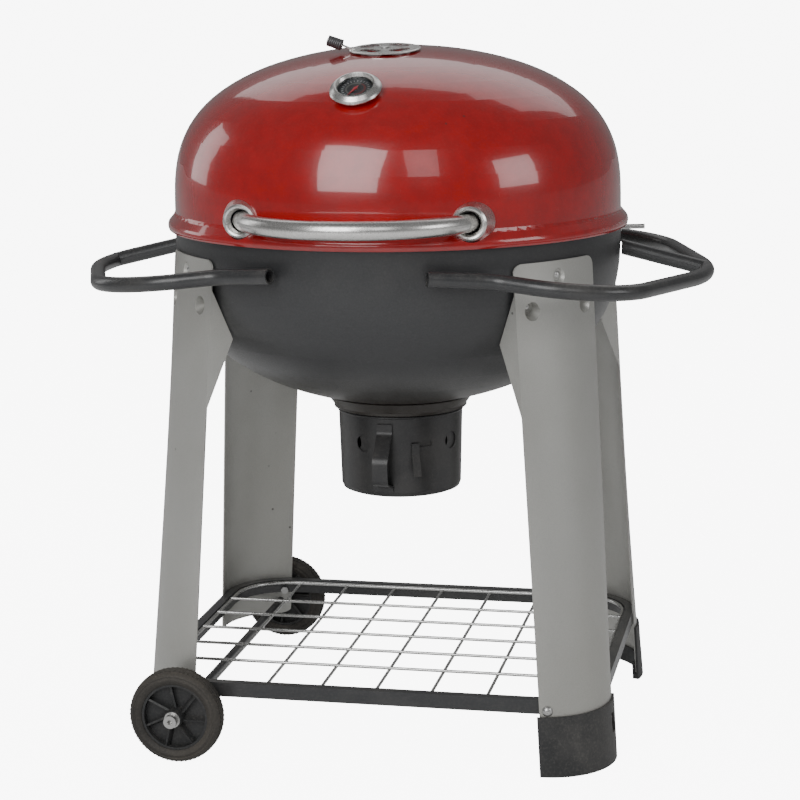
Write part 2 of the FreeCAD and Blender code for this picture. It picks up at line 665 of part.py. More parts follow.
def make_hinge():
    """Bracket on the bowl, pin, leaf on the lid and the screws of both."""
    pin_at = hinge_point()
    ear_x = KNUCKLE_HALF + EAR_GAP
    bracket_top = SEAM_Z - 6
    bracket_base = SEAM_Z - 52
    back = bowl_radius(0) + 0.3
    plate = Part.makeBox(2 * (ear_x + EAR_SHEET), back + HINGE_PLATE, bracket_top - bracket_base,
                         Vector(-(ear_x + EAR_SHEET), 0, bracket_base))
    plate = plate.common(Part.makeCylinder(back + HINGE_PLATE, bracket_top - bracket_base,
                                           Vector(0, 0, bracket_base)))
    plate = plate.cut(Part.makeCylinder(back, 200, Vector(0, 0, bracket_base - 10)))
    ears = []
    for side in (-1, 1):
        x0 = side * ear_x if side > 0 else -ear_x - EAR_SHEET
        corners = [(back + 1.5, bracket_base), (back + 12, bracket_base),
                   (HINGE_Y + KNUCKLE_R, pin_at.z - 14), (HINGE_Y + KNUCKLE_R, pin_at.z),
                   (HINGE_Y - KNUCKLE_R, pin_at.z), (HINGE_Y - KNUCKLE_R, bracket_top - 10),
                   (back + 1.5, bracket_top - 10)]
        outline = [Vector(x0, y, z) for y, z in corners]
        ear = Part.Face(Part.makePolygon(outline + [outline[0]])).extrude(Vector(EAR_SHEET, 0, 0))
        ear = ear.fuse(Part.makeCylinder(KNUCKLE_R, EAR_SHEET, Vector(x0, pin_at.y, pin_at.z),
                                         Vector(1, 0, 0)))
        ears.append(ear)
    bore = Part.makeCylinder(HINGE_PIN_R, 4 * ear_x, Vector(-2 * ear_x, pin_at.y, pin_at.z),
                             Vector(1, 0, 0))
    bracket = fused([plate] + ears).cut(bore)
    half = ear_x + EAR_SHEET
    pin = Part.makeCylinder(HINGE_PIN_R, 2 * half, Vector(-half, pin_at.y, pin_at.z),
                            Vector(1, 0, 0))
    for side in (-1, 1):
        head_x = half if side > 0 else -half - 2.5
        pin = pin.fuse(Part.makeCylinder(HINGE_PIN_R + 2, 2.5, Vector(head_x, pin_at.y, pin_at.z),
                                         Vector(1, 0, 0)))
    knuckle = Part.makeCylinder(KNUCKLE_R, 2 * KNUCKLE_HALF,
                                Vector(-KNUCKLE_HALF, pin_at.y, pin_at.z), Vector(1, 0, 0))
    leaf_top = SEAM_Z + 62
    leaf_base = SEAM_Z + LID_SKIRT + 3
    leaf_r = LID_R + 0.6
    leaf = Part.makeBox(2 * KNUCKLE_HALF, 400, leaf_top - leaf_base,
                        Vector(-KNUCKLE_HALF, 0, leaf_base))
    leaf = leaf.common(Part.makeCylinder(leaf_r + HINGE_PLATE, 100, Vector(0, 0, leaf_base)))
    leaf = leaf.cut(Part.makeCylinder(leaf_r, 200, Vector(0, 0, leaf_base - 50)))
    link_corners = [(leaf_r + 0.5, leaf_base), (leaf_r + 0.5, leaf_base + 14),
                    (leaf_r + HINGE_PLATE, leaf_base + 16), (HINGE_Y + KNUCKLE_R, pin_at.z + 6),
                    (HINGE_Y + KNUCKLE_R - 3, pin_at.z), (HINGE_Y - 3, pin_at.z + 6)]
    outline = [Vector(-KNUCKLE_HALF, y, z) for y, z in link_corners]
    link = Part.Face(Part.makePolygon(outline + [outline[0]]))
    link = link.extrude(Vector(2 * KNUCKLE_HALF, 0, 0))
    running_bore = Part.makeCylinder(HINGE_PIN_R + HINGE_PIN_GAP, 4 * ear_x,
                                     Vector(-2 * ear_x, pin_at.y, pin_at.z), Vector(1, 0, 0))
    leaf = fused([leaf, link, knuckle]).cut(running_bore)
    leaf_screws = []
    bracket_screws = []
    for x in (-14, 14):
        azimuth = 180 - math.degrees(math.asin(x / leaf_r))
        seat = polar(leaf_r + HINGE_PLATE, azimuth, SEAM_Z + 52)
        leaf_screws.append(domed_screw(seat, outward(azimuth), 5, 2.4, 2.5, 9))
        seat = polar(back + HINGE_PLATE, azimuth, SEAM_Z - 38)
        bracket_screws.append(domed_screw(seat, outward(azimuth), 5, 2.4, 2.5, 11))
    for screw in leaf_screws:
        leaf = leaf.cut(screw)
    for screw in bracket_screws:
        bracket = bracket.cut(screw)
    return bracket, pin, leaf, leaf_screws, bracket_screws


# ---------------------------------------------------------------- bowl and what hangs on it
def bowl_solid(offset):
    """Solid inside the bowl's profile, up to the rolled edge's height."""
    side = chain_edges(bowl_point, offset)
    top = side[0].valueAt(side[0].FirstParameter)
    bottom = side[-1].valueAt(side[-1].LastParameter)
    rim = Vector(top.x, 0, bead_z())
    middle = Vector(0, 0, bead_z())
    edges = side + [Part.makeLine(bottom, middle), Part.makeLine(middle, rim),
                    Part.makeLine(rim, top)]
    return Part.Face(Part.Wire(edges)).revolve(ORIGIN, UP, 360)


def make_bowl(holes):
    shell = bowl_solid(0).cut(bowl_solid(-SHEET))
    shell = shell.fuse(Part.makeTorus(RIM_BEAD_PATH_R, RIM_BEAD_R, Vector(0, 0, bead_z())))
    shell = shell.cut(Part.makeCylinder(BOWL_MOUTH_R, BOWL_DEPTH, ORIGIN.add(
        UP * (SEAM_Z - BOWL_DEPTH - 10))))
    for hole in holes:
        shell = shell.cut(hole)
    return shell


def make_collar():
    """Flared ring under the bowl with a neck that the ash can hangs round."""
    top = SEAM_Z - bowl_drop(COLLAR_R) - 0.4
    waist = top - COLLAR_HEIGHT
    neck_end = SEAM_Z - CAN_TOP - NECK_LENGTH
    outline = [(COLLAR_R, top), (COLLAR_R + 1.0, top - 1.2), (COLLAR_WAIST_R + 2.6, waist + 1.5),
               (COLLAR_WAIST_R + 2.6, waist - 1.5), (COLLAR_WAIST_R, waist - 2.6),
               (NECK_R, waist - 2.6), (NECK_R, neck_end), (NECK_R - SHEET, neck_end),
               (NECK_R - SHEET, waist - 1.0), (COLLAR_WAIST_R - 1, waist - 1.0),
               (COLLAR_R - 2.2, top - 0.6)]
    collar = turned(outline)
    hooks = []
    for index in range(3):
        azimuth = 45 + index * 120
        foot = polar(NECK_R - 0.5, azimuth, neck_end + 4)
        hooks.append(rod(foot, foot.add(outward(azimuth) * 2.0), 2.0))
    lug = Part.makeBox(7, 8, 3, Vector(-3.5, 0, 0))
    lug.Placement = FreeCAD.Placement(polar(COLLAR_R + 6.5, -78, top - 4.5),
                                      FreeCAD.Rotation(UP, -78))
    return fused([collar, lug] + hooks)


def loop_points():
    """Corner points of a side handle's centre line, on the right, front half first."""
    run_r = BOWL_R + LOOP_GAP + RAIL_TUBE_R
    end = polar(run_r, LOOP_END_AZIMUTH)
    shoulder_r = run_r / math.cos(math.radians((LOOP_SHOULDER_AZIMUTH - LOOP_END_AZIMUTH) / 2))
    shoulder = polar(shoulder_r, LOOP_SHOULDER_AZIMUTH)
    corner = Vector(LOOP_CORNER[0], -LOOP_CORNER[1], 0)
    outer = Vector(LOOP_OUTER[0], -LOOP_OUTER[1], 0)
    front = [end, shoulder, corner, outer]
    back = [Vector(p.x, -p.y, 0) for p in reversed(front)]
    return [Vector(p.x, p.y, SEAM_Z - LOOP_DROP - LOOP_SLOPE * p.x) for p in front + back]


def rounded_path(points, radii):
    """Wire along straight runs with an arc of the given radius at each inner corner."""
    edges = []
    here = points[0]
    for index in range(1, len(points) - 1):
        before = points[index - 1].sub(points[index]).normalize()
        after = points[index + 1].sub(points[index]).normalize()
        half = math.acos(max(-1.0, min(1.0, before.dot(after)))) / 2
        setback = radii[index - 1] / math.tan(half)
        start = points[index].add(before * setback)
        end = points[index].add(after * setback)
        bisector = before.add(after).normalize()
        centre = points[index].add(bisector * (radii[index - 1] / math.sin(half)))
        middle = centre.sub(bisector * radii[index - 1])
        edges.append(Part.makeLine(here, start))
        edges.append(Part.Arc(start, middle, end).toShape())
        here = end
    edges.append(Part.makeLine(here, points[-1]))
    return Part.Wire(edges)


def swept(path, radius):
    start = path.Edges[0]
    at = start.valueAt(start.FirstParameter)
    tangent = start.tangentAt(start.FirstParameter)
    ring = Part.Wire(Part.makeCircle(radius, at, tangent))
    return path.makePipeShell([ring], True, True)


def loop_z(x):
    return SEAM_Z - LOOP_DROP - LOOP_SLOPE * x


def make_side_handle():
    """Right-hand loop with its strut, the posts and screws that hold it to the bowl."""
    radii = LOOP_BENDS + tuple(reversed(LOOP_BENDS))
    path = rounded_path(loop_points(), radii)
    outer = swept(path, RAIL_TUBE_R)
    bore = swept(path, RAIL_TUBE_R - RAIL_TUBE_WALL)
    loop_x = LOOP_OUTER[0]
    strut_start = Vector(math.sqrt(BOWL_R ** 2 - STRUT_Y ** 2) + 1.5, STRUT_Y,
                         SEAM_Z - STRUT_DROP)
    strut_end = Vector(loop_x, STRUT_Y, loop_z(loop_x))
    strut = rod(strut_start.sub(Vector(3, 0, 0)), strut_end, RAIL_TUBE_R)
    strut = strut.cut(Part.makeCylinder(BOWL_R + 1.0, 200, Vector(0, 0, SEAM_Z - 150)))
    strut = strut.cut(outer)
    handle = fused([outer.cut(bore), strut.cut(bore)])
    posts = []
    screws = []
    for side in (-1, 1):
        azimuth = 90 + side * (90 - LOOP_POST_AZIMUTH)
        tube_r = BOWL_R + LOOP_GAP + RAIL_TUBE_R
        at = polar(tube_r, azimuth, 0)
        z = loop_z(at.x)
        wall = polar(BOWL_R - 2, azimuth, z)
        post = rod(wall, polar(tube_r, azimuth, z), LOOP_POST_R)
        post = post.cut(outer).cut(bowl_solid(0))
        posts.append(max(post.Solids, key=lambda s: s.CenterOfMass.distanceToPoint(at) * -1))
        inside = polar(BOWL_R - SHEET - 3.4, azimuth, z)
        posts[-1] = posts[-1].cut(rod(inside, polar(tube_r, azimuth, z), 2.5))
        screws.append(domed_screw(polar(BOWL_R - SHEET - 0.3, azimuth, z), outward(azimuth) * -1,
                                  6, 3, 2.5, SHEET + 6.0))
        handle = handle.cut(rod(inside, polar(tube_r, azimuth, z), 2.5))
    return handle, posts, screws, outer


def make_peg():
    wall = polar(BOWL_R - SHEET - 6, PEG_AZIMUTH, SEAM_Z - PEG_DROP)
    tip = polar(PEG_REACH, PEG_AZIMUTH, SEAM_Z - PEG_DROP)
    way = outward(PEG_AZIMUTH)
    peg = rod(wall, tip, PEG_R)
    nut_seat = polar(BOWL_R + 0.3, PEG_AZIMUTH, SEAM_Z - PEG_DROP)
    inside_seat = polar(BOWL_R - SHEET - 4.3, PEG_AZIMUTH, SEAM_Z - PEG_DROP)
    return fused([peg, hexagon_bar(nut_seat, way, 5.5, 3), hexagon_bar(inside_seat, way, 5.5, 3)])


# ---------------------------------------------------------------- legs
def leg_section(z):
    """Half chord, rise and distance of the chord's middle for the leg's curve at a height."""
    share = (LEG_TOP_Z - z) / LEG_TOP_Z
    outer_r = BOWL_R + LEG_TOP_GAP + LEG_SHEET
    top_mid = math.sqrt(outer_r ** 2 - LEG_TOP_HALF ** 2)
    half = LEG_TOP_HALF + (LEG_FLOOR_HALF - LEG_TOP_HALF) * share
    rise = (outer_r - top_mid) + (LEG_FLOOR_RISE - (outer_r - top_mid)) * share
    middle = top_mid + (LEG_FLOOR_MID_R - top_mid) * share
    return half, rise, middle


def leg_curve(z):
    """Radius of the leg's curve and how far its centre is from the kettle's axis."""
    half, rise, middle = leg_section(z)
    radius = (half ** 2 + rise ** 2) / (2 * rise)
    return radius, middle + rise - radius


def leg_ring(z, outside, thickness, extra_half=0.0):
    """Closed outline of the leg's curved section: a band of the given thickness whose
    outer face stands outside the leg's own outer face."""
    half, rise, middle = leg_section(z)
    radius, centre_r = leg_curve(z)
    centre = Vector(centre_r, 0, z)
    reach = math.asin(half / radius) + extra_half / radius
    outer = radius + outside
    inner = outer - thickness

    def at(distance, angle):
        return centre.add(Vector(distance * math.cos(angle), distance * math.sin(angle), 0))

    edges = [Part.Arc(at(outer, -reach), at(outer, 0), at(outer, reach)).toShape(),
             Part.makeLine(at(outer, reach), at(inner, reach)),
             Part.Arc(at(inner, reach), at(inner, 0), at(inner, -reach)).toShape(),
             Part.makeLine(at(inner, -reach), at(outer, -reach))]
    return Part.Wire(edges)


def leg_band(z_low, z_high, outside=0.0, thickness=LEG_SHEET, extra_half=0.0):
    """Curved plate between two heights, in the leg's own frame with +X outwards."""
    rings = [leg_ring(0, outside, thickness, extra_half),
             leg_ring(LEG_TOP_Z, outside, thickness, extra_half)]
    whole = Part.makeLoft(rings, True, True)
    slab = Part.makeBox(1000, 1000, z_high - z_low, Vector(-500, -500, z_low))
    return whole.common(slab)


def corner_cutter(y, z, side, up):
    """Cuts one corner of the leg round, seen from outside."""
    r = LEG_CORNER_R
    box = Part.makeBox(200, r + 2, r + 2, Vector(200, y - r if side > 0 else y - 2,
                                                 z - r if up > 0 else z - 2))
    centre = Vector(200, y - side * r, z - up * r)
    return box.cut(Part.makeCylinder(r, 200, centre, Vector(1, 0, 0)))


def gusset(side):
    """Triangular flange bent in from the leg's edge to brace the bowl."""
    outline = []
    for drop, inward in ((GUSSET_TOP, False), (GUSSET_APEX, True), (GUSSET_END, False)):
        z = SEAM_Z - drop
        half, _, middle = leg_section(z)
        if inward:
            wall = math.sqrt(bowl_radius(drop) ** 2 - half ** 2)
            outline.append(Vector(wall + GUSSET_GAP + 2, side * half, z))
        else:
            outline.append(Vector(middle, side * half, z))
    flange = Part.Face(Part.makePolygon(outline + [outline[0]]))
    return flange.extrude(Vector(0, -side * LEG_SHEET, 0))


def bowl_frame(azimuth, drop):
    """Point on the bowl's outside in the leg's frame, and the bowl's normal there."""
    angle = math.radians(azimuth)
    step = 0.01
    slope = (bowl_radius(drop + step) - bowl_radius(drop - step)) / (2 * step)
    tilt = math.atan(-slope)
    level = Vector(math.cos(angle), math.sin(angle), 0)
    seat = level * bowl_radius(drop) + UP * (SEAM_Z - drop)
    return seat, level * math.cos(tilt) - UP * math.sin(tilt)


def dimple(seat, way, behind):
    """Tapered cup from the leg's face down to the bowl, and what it hollows out."""
    reach = skin_point(behind, seat.sub(way * 5), way).distanceToPoint(seat)
    rate = (DIMPLE_R - DIMPLE_FLOOR_R) / reach
    floor = seat.add(way * DIMPLE_GAP)
    run = reach + 12
    cup = Part.makeCone(DIMPLE_FLOOR_R, DIMPLE_FLOOR_R + rate * run, run, floor, way)
    hollow_floor = floor.add(way * LEG_SHEET)
    narrow = DIMPLE_FLOOR_R - LEG_SHEET * 0.6
    hollow = Part.makeCone(narrow, narrow + rate * run, run, hollow_floor, way)
    return cup.common(behind), hollow, hollow_floor


def make_leg(end_z):
    """One leg in its own frame, with the screws that join it to the bowl."""
    plate = leg_band(end_z, LEG_TOP_Z)
    behind = leg_band(end_z, LEG_TOP_Z, 0.0, 60.0)
    half, _, _ = leg_section(LEG_TOP_Z)
    for side in (-1, 1):
        plate = plate.cut(corner_cutter(side * half, LEG_TOP_Z, side, 1))
    if end_z > FOOT_INNER_HEIGHT:
        half, _, _ = leg_section(end_z)
        for side in (-1, 1):
            plate = plate.cut(corner_cutter(side * half, end_z, side, -1))
    plate = fused([plate, gusset(-1), gusset(1)])
    screws = []
    holes = []
    for azimuth, drop in LEG_SCREWS:
        seat, way = bowl_frame(azimuth, drop)
        cup, hollow, head_seat = dimple(seat, way, behind)
        inside = seat.sub(way * (SHEET + NUT_HEIGHT + 3))
        hole = rod(inside, seat.add(way * 10), LEG_SCREW_R)
        holes.append(hole)
        plate = plate.fuse(cup).cut(hollow).cut(hole)
        length = head_seat.distanceToPoint(inside)
        head = domed_screw(head_seat.add(way * 0.05), way, SCREW_HEAD_R, SCREW_HEAD_HEIGHT,
                           LEG_SCREW_R, length)
        nut = hexagon_bar(seat.sub(way * (SHEET + 1 + NUT_HEIGHT)), way, NUT_R, NUT_HEIGHT)
        screws.append(fused([head, nut]))
    return plate, screws, holes


def placed_leg(shape, side_x, side_y):
    """Move a shape from the leg's frame to one of the four corners."""
    turn = LEG_AZIMUTH - 90
    copy = shape.copy()
    copy.rotate(ORIGIN, UP, turn)
    if side_y > 0:
        copy = mirrored(copy, Vector(0, 1, 0))
    if side_x < 0:
        copy = mirrored(copy, Vector(1, 0, 0))
    return copy


def make_foot():
    """Moulded channel pushed over the leg's end: a tall outer wall and a low inner one."""
    outer = leg_band(0, FOOT_HEIGHT, FOOT_CLEARANCE + FOOT_WALL, FOOT_WALL, FOOT_WALL)
    low = leg_band(0, FOOT_LEG_END_Z - 0.5, FOOT_CLEARANCE + FOOT_WALL,
                   2 * (FOOT_CLEARANCE + FOOT_WALL) + LEG_SHEET, FOOT_WALL)
    inner = leg_band(0, FOOT_INNER_HEIGHT, -LEG_SHEET - FOOT_CLEARANCE, FOOT_WALL, FOOT_WALL)
    foot = fused([outer, low, inner])
    radius, centre_r = leg_curve(FOOT_WINDOW_Z)
    angle = math.radians(FOOT_WINDOW_AZIMUTH)
    way = Vector(math.cos(angle), math.sin(angle), 0)
    across = Vector(-math.sin(angle), math.cos(angle), 0)
    at = Vector(centre_r, 0, FOOT_WINDOW_Z).add(way * (radius - 3.0))
    wide = FOOT_WINDOW[0] / 2
    tall = FOOT_WINDOW[1] / 2
    corners = [at.add(across * wide * 1.15).sub(UP * tall), at.sub(across * wide).sub(UP * tall),
               at.sub(across * wide).add(UP * tall), at.add(across * wide * 0.8).add(UP * tall)]
    window = Part.Face(Part.makePolygon(corners + [corners[0]])).extrude(way * 20)
    inner_face = leg_band(-1, FOOT_HEIGHT + 1, FOOT_CLEARANCE, LEG_SHEET + 20)
    foot = foot.cut(window.cut(inner_face))
    leg = leg_band(FOOT_LEG_END_Z, FOOT_HEIGHT + 20)
    centre = Vector(centre_r, 0, FOOT_WINDOW_Z + tall - 6)
    seat, normal = skin_frame(leg, centre, way)
    screw = domed_screw(seat.add(normal * 0.1), normal, 3.2, 1.6, 1.6, 6.0)
    hole = rod(seat.sub(normal * 10), seat.add(normal * 10), 1.6)
    return foot, screw, hole


# ---------------------------------------------------------------- shelf
def shelf_corner():
    """Centre and centre-line radius of the shelf rail's corner, nested in the leg's curve."""
    radius, centre_r = leg_curve(SHELF_Z)
    centre = polar(centre_r, LEG_AZIMUTH)
    return centre, radius - LEG_SHEET - RAIL_CLEARANCE - RAIL_WIDTH / 2


def rounded_rectangle(half_x, half_y, corner_r, z):
    """Closed wire of four lines and four arcs round the axis."""
    edges = []
    cx = half_x - corner_r
    cy = half_y - corner_r
    diagonal = corner_r * math.sqrt(0.5)
    for sx, sy in ((1, -1), (1, 1), (-1, 1), (-1, -1)):
        centre = Vector(sx * cx, sy * cy, z)
        ends = [centre.add(Vector(0, sy * corner_r, 0)), centre.add(Vector(sx * corner_r, 0, 0))]
        if sx * sy > 0:
            ends.reverse()
        middle = centre.add(Vector(sx * diagonal, sy * diagonal, 0))
        edges.append((ends[0], middle, ends[1]))
    wires = []
    for index, (start, middle, end) in enumerate(edges):
        wires.append(Part.Arc(start, middle, end).toShape())
        wires.append(Part.makeLine(end, edges[(index + 1) % 4][0]))
    return Part.Wire(wires)


def make_shelf():
    """Rail hoop, and the wire mat inside it as one welded piece."""
    centre, corner_r = shelf_corner()
    half_x = centre.x + corner_r
    half_y = -centre.y + corner_r
    grow = RAIL_WIDTH / 2
    base = SHELF_Z - RAIL_HEIGHT / 2
    outer = Part.Face(rounded_rectangle(half_x + grow, half_y + grow, corner_r + grow, base))
    inner = Part.Face(rounded_rectangle(half_x - grow, half_y - grow, corner_r - grow, base))
    frame = outer.cut(inner).extrude(UP * RAIL_HEIGHT)
    edge_x = half_x - grow - EDGE_WIRE_R
    edge_y = half_y - grow - EDGE_WIRE_R
    edge_z = SHELF_Z + RAIL_HEIGHT / 2 - EDGE_WIRE_R - 1
    ring = rounded_rectangle(edge_x, edge_y, corner_r - grow - EDGE_WIRE_R, edge_z)
    wires = [swept(ring, EDGE_WIRE_R)]
    for index in range(LONG_COUNT):
        y = LONG_SHIFT + (index - (LONG_COUNT - 1) / 2) * LONG_PITCH
        wires.append(rod(Vector(-edge_x, y, edge_z + WIRE_R * 0.9),
                         Vector(edge_x, y, edge_z + WIRE_R * 0.9), WIRE_R))
    for index in range(CROSS_COUNT):
        x = CROSS_SHIFT + (index - (CROSS_COUNT - 1) / 2) * CROSS_PITCH
        wires.append(rod(Vector(x, -edge_y, edge_z - WIRE_R * 0.9),
                         Vector(x, edge_y, edge_z - WIRE_R * 0.9), WIRE_R))
    return frame, fused(wires)


def shelf_screw_place():
    """Where a screw holds the rail to a leg: seat on the leg's face, and the way out."""
    z = SHELF_Z - SHELF_SCREW_DROP
    radius, centre_r = leg_curve(z)
    half, _, _ = leg_section(z)
    angle = -(math.asin(half / radius) - SHELF_SCREW_INSET / radius)
    way = Vector(math.cos(angle), math.sin(angle), 0)
    return skin_frame(leg_band(0, LEG_TOP_Z), Vector(centre_r, 0, z), way)


# ---------------------------------------------------------------- wheels
def make_wheel():
    """Tyre and hub about the Y axis with the inner face at Y = 0 and the outer at -width."""
    w = WHEEL_WIDTH
    r = WHEEL_R
    inner_r = r - TYRE_DEPTH
    tyre_outline = [(inner_r, 3), (r - 9, 0), (r - 4, 1.5), (r - 1, 5), (r, 9), (r, w - 9),
                    (r - 1, w - 5), (r - 4, w - 1.5), (r - 9, w), (inner_r, w - 3)]
    tyre = turned(tyre_outline)
    groove_count = 3
    for index in range(groove_count):
        z = w / 2 + (index - 1) * 5
        ring = turned([(r - 1.2, z - 0.8), (r + 1, z - 0.8), (r + 1, z + 0.8), (r - 1.2, z + 0.8)])
        tyre = tyre.cut(ring)
    rim_r = inner_r - 0.05
    rim = turned([(rim_r - 3, 4), (rim_r, 4), (rim_r, w - 4), (rim_r - 3, w - 4)])
    bore_r = AXLE_R + AXLE_GAP
    boss = turned([(bore_r, -HUB_PROUD * 0.2), (13, -HUB_PROUD * 0.2), (11, w + HUB_PROUD),
                   (bore_r, w + HUB_PROUD)])
    web = turned([(11, w / 2 - 1.5), (rim_r - 2, w / 2 - 1.5), (rim_r - 2, w / 2 + 1.5),
                  (11, w / 2 + 1.5)])
    pieces = [rim, boss, web]
    for index in range(SPOKES):
        vane = Part.makeBox(rim_r - 12, 2.6, w - 10, Vector(10.5, -1.3, 5))
        vane.rotate(Vector(24, 0, w / 2), Vector(1, 0, 0), 24)
        vane.rotate(ORIGIN, UP, index * 360 / SPOKES)
        pieces.append(vane)
    keep = turned([(bore_r, -HUB_PROUD), (rim_r - 1, -HUB_PROUD), (rim_r - 1, w + HUB_PROUD),
                   (bore_r, w + HUB_PROUD)])
    hub = fused(pieces).common(keep.fuse(rim))
    # stand the wheel up: its axis along -Y, outwards from the inner face
    for shape in (tyre, hub):
        shape.rotate(ORIGIN, Vector(1, 0, 0), 90)
    return tyre, hub


def placed_wheel(shape, side):
    """Front wheel for side -1, back wheel for side 1."""
    copy = shape.copy()
    copy.translate(Vector(AXLE_X, -WHEEL_INNER_Y, WHEEL_R))
    return mirrored(copy, Vector(0, 1, 0)) if side > 0 else copy


def make_axle():
    """Axle rod through both wheel legs, and the capped screws at its ends."""
    end = WHEEL_INNER_Y + WHEEL_WIDTH + HUB_PROUD + 0.6
    at = Vector(AXLE_X, 0, WHEEL_R)
    axle = rod(at.sub(Vector(0, end, 0)), at.add(Vector(0, end, 0)), AXLE_R)
    caps = []
    for side in (-1, 1):
        start = at.add(Vector(0, side * end, 0))
        stop = start.add(Vector(0, side * CAP_LENGTH, 0))
        way = Vector(0, side, 0)
        cap = rod(start, stop, CAP_R).cut(hexagon_bar(stop.sub(way * 6), way, 3.4, 8))
        washer = rod(start, start.add(way * 1.5), CAP_R + 2)
        caps.append(cap.fuse(washer))
    return axle, caps


# ---------------------------------------------------------------- ash catcher
def can_radius(drop):
    share = (drop - CAN_TOP) / (CAN_BASE - CAN_TOP)
    return CAN_TOP_R + (CAN_BASE_R - CAN_TOP_R) * share


def wall_hole(azimuth, drop, radius):
    return rod(polar(40, azimuth, SEAM_Z - drop), polar(120, azimuth, SEAM_Z - drop), radius)


def arc_slot(first, last, drop, height, inner_r, outer_r):
    """Curved bar from one azimuth to another, to cut a slot through a round wall."""
    low = SEAM_Z - drop - height / 2
    bar = turned([(inner_r, low), (outer_r, low), (outer_r, low + height),
                  (inner_r, low + height)])
    wedge = Part.makeCylinder(outer_r + 5, height + 20, Vector(0, 0, low - 10), UP, last - first)
    wedge.rotate(ORIGIN, UP, first - 90)
    return bar.common(wedge)


def make_can():
    """Ash can with air holes and the lever's slot, and its strap handle."""
    top = SEAM_Z - CAN_TOP
    base = SEAM_Z - CAN_BASE
    t = CAN_SHEET
    fillet = 7.0
    outline = [(CAN_TOP_R - t, top), (CAN_TOP_R, top), (CAN_BASE_R, base + fillet),
               (CAN_BASE_R - 2.0, base + 2.0), (CAN_BASE_R - fillet, base), (0, base),
               (0, base + t), (CAN_BASE_R - fillet, base + t),
               (CAN_BASE_R - t - 1.6, base + 2.6), (CAN_BASE_R - t, base + fillet)]
    can = turned(outline)
    bead = Part.makeTorus(CAN_TOP_R, CAN_BEAD_R, Vector(0, 0, top))
    can = can.fuse(bead).cut(Part.makeCylinder(CAN_TOP_R - t, 20, Vector(0, 0, top - 10)))
    for index in range(AIR_HOLES):
        azimuth = AIR_HOLE_AZIMUTH + index * 360 / AIR_HOLES
        can = can.cut(wall_hole(azimuth, AIR_HOLE_DROP, AIR_HOLE_R))
    can = can.cut(arc_slot(SLOT_AZIMUTH[0], SLOT_AZIMUTH[1], AIR_HOLE_DROP, SLOT_HEIGHT, 60, 100))
    upper = can_radius(CAN_TOP + 12) + 0.5
    lower = can_radius(CAN_BASE - 14) + 0.5
    centre_line = [Vector(upper, 0, top - 8), Vector(upper, 0, top - 20),
                   Vector(upper + STRAP_REACH, 0, top - 52), Vector(lower + STRAP_REACH, 0, base + 24),
                   Vector(lower, 0, base + 16), Vector(lower, 0, base + 9)]
    path = rounded_path(centre_line, (12.0, 14.0, 8.0, 3.0))
    section = Part.makePolygon([Vector(upper, -STRAP_WIDTH / 2, top - 8),
                                Vector(upper, STRAP_WIDTH / 2, top - 8),
                                Vector(upper + STRAP_SHEET, STRAP_WIDTH / 2, top - 8),
                                Vector(upper + STRAP_SHEET, -STRAP_WIDTH / 2, top - 8),
                                Vector(upper, -STRAP_WIDTH / 2, top - 8)])
    strap = path.makePipeShell([section], True, False)
    strap.rotate(ORIGIN, UP, STRAP_AZIMUTH - 90)
    strap = strap.cut(Part.makeCone(CAN_BASE_R + 0.1, CAN_TOP_R + 0.1, top - base,
                                    Vector(0, 0, base)))
    return can, strap


def make_air_ring():
    """Ring with matching holes that turns inside the can, and the lever on it."""
    high = AIR_HOLE_DROP - AIR_RING_HEIGHT / 2
    low = AIR_HOLE_DROP + AIR_RING_HEIGHT / 2
    gap = CAN_SHEET + AIR_RING_GAP
    outline = [(can_radius(high) - gap, SEAM_Z - high), (can_radius(low) - gap, SEAM_Z - low),
               (can_radius(low) - gap - AIR_RING_SHEET, SEAM_Z - low),
               (can_radius(high) - gap - AIR_RING_SHEET, SEAM_Z - high)]
    ring = turned(outline)
    for index in range(AIR_HOLES):
        azimuth = AIR_HOLE_AZIMUTH + AIR_RING_OFFSET + index * 360 / AIR_HOLES
        ring = ring.cut(wall_hole(azimuth, AIR_HOLE_DROP, AIR_HOLE_R))
    azimuth = SLOT_AZIMUTH[0] + 2.6
    z = SEAM_Z - AIR_HOLE_DROP
    wall = can_radius(AIR_HOLE_DROP) - gap
    plate_profile = [Vector(wall + 3.4, -5, 2.4), Vector(wall + 5.2, -5, 2.4),
                     Vector(wall + 5.2, -5, -12), Vector(wall + 16, -5, -38),
                     Vector(wall + 14.2, -5, -38), Vector(wall + 3.4, -5, -12)]
    plate = Part.Face(Part.makePolygon(plate_profile + [plate_profile[0]]))
    plate = plate.extrude(Vector(0, 10, 0))
    lever = plate.fuse(Part.makeBox(3.6, 4.2, 3.6, Vector(wall - 0.2, -2.1, -1.8)))
    lever.rotate(ORIGIN, UP, azimuth - 90)
    lever.translate(Vector(0, 0, z))
    return ring, lever.cut(ring)


# ---------------------------------------------------------------- grates
def bar_grate(radius, rim_r, bar_r, pitch, z, cross_count):
    """Round grate: a rim wire, parallel bars over it and cross bars under them."""
    rim = Part.makeTorus(radius - rim_r, rim_r, Vector(0, 0, z))
    pieces = [rim]
    ring_r = radius - rim_r
    count = int(ring_r / pitch)
    for index in range(-count, count + 1):
        x = index * pitch
        reach = math.sqrt(ring_r ** 2 - x ** 2)
        if reach < pitch:
            continue
        pieces.append(rod(Vector(x, -reach, z + bar_r * 0.6), Vector(x, reach, z + bar_r * 0.6),
                          bar_r))
    for index in range(cross_count):
        y = (index - (cross_count - 1) / 2) * ring_r * 0.9
        reach = math.sqrt(ring_r ** 2 - y ** 2)
        pieces.append(rod(Vector(-reach, y, z - rim_r * 0.5), Vector(reach, y, z - rim_r * 0.5),
                          rim_r * 0.9))
    return fused(pieces)


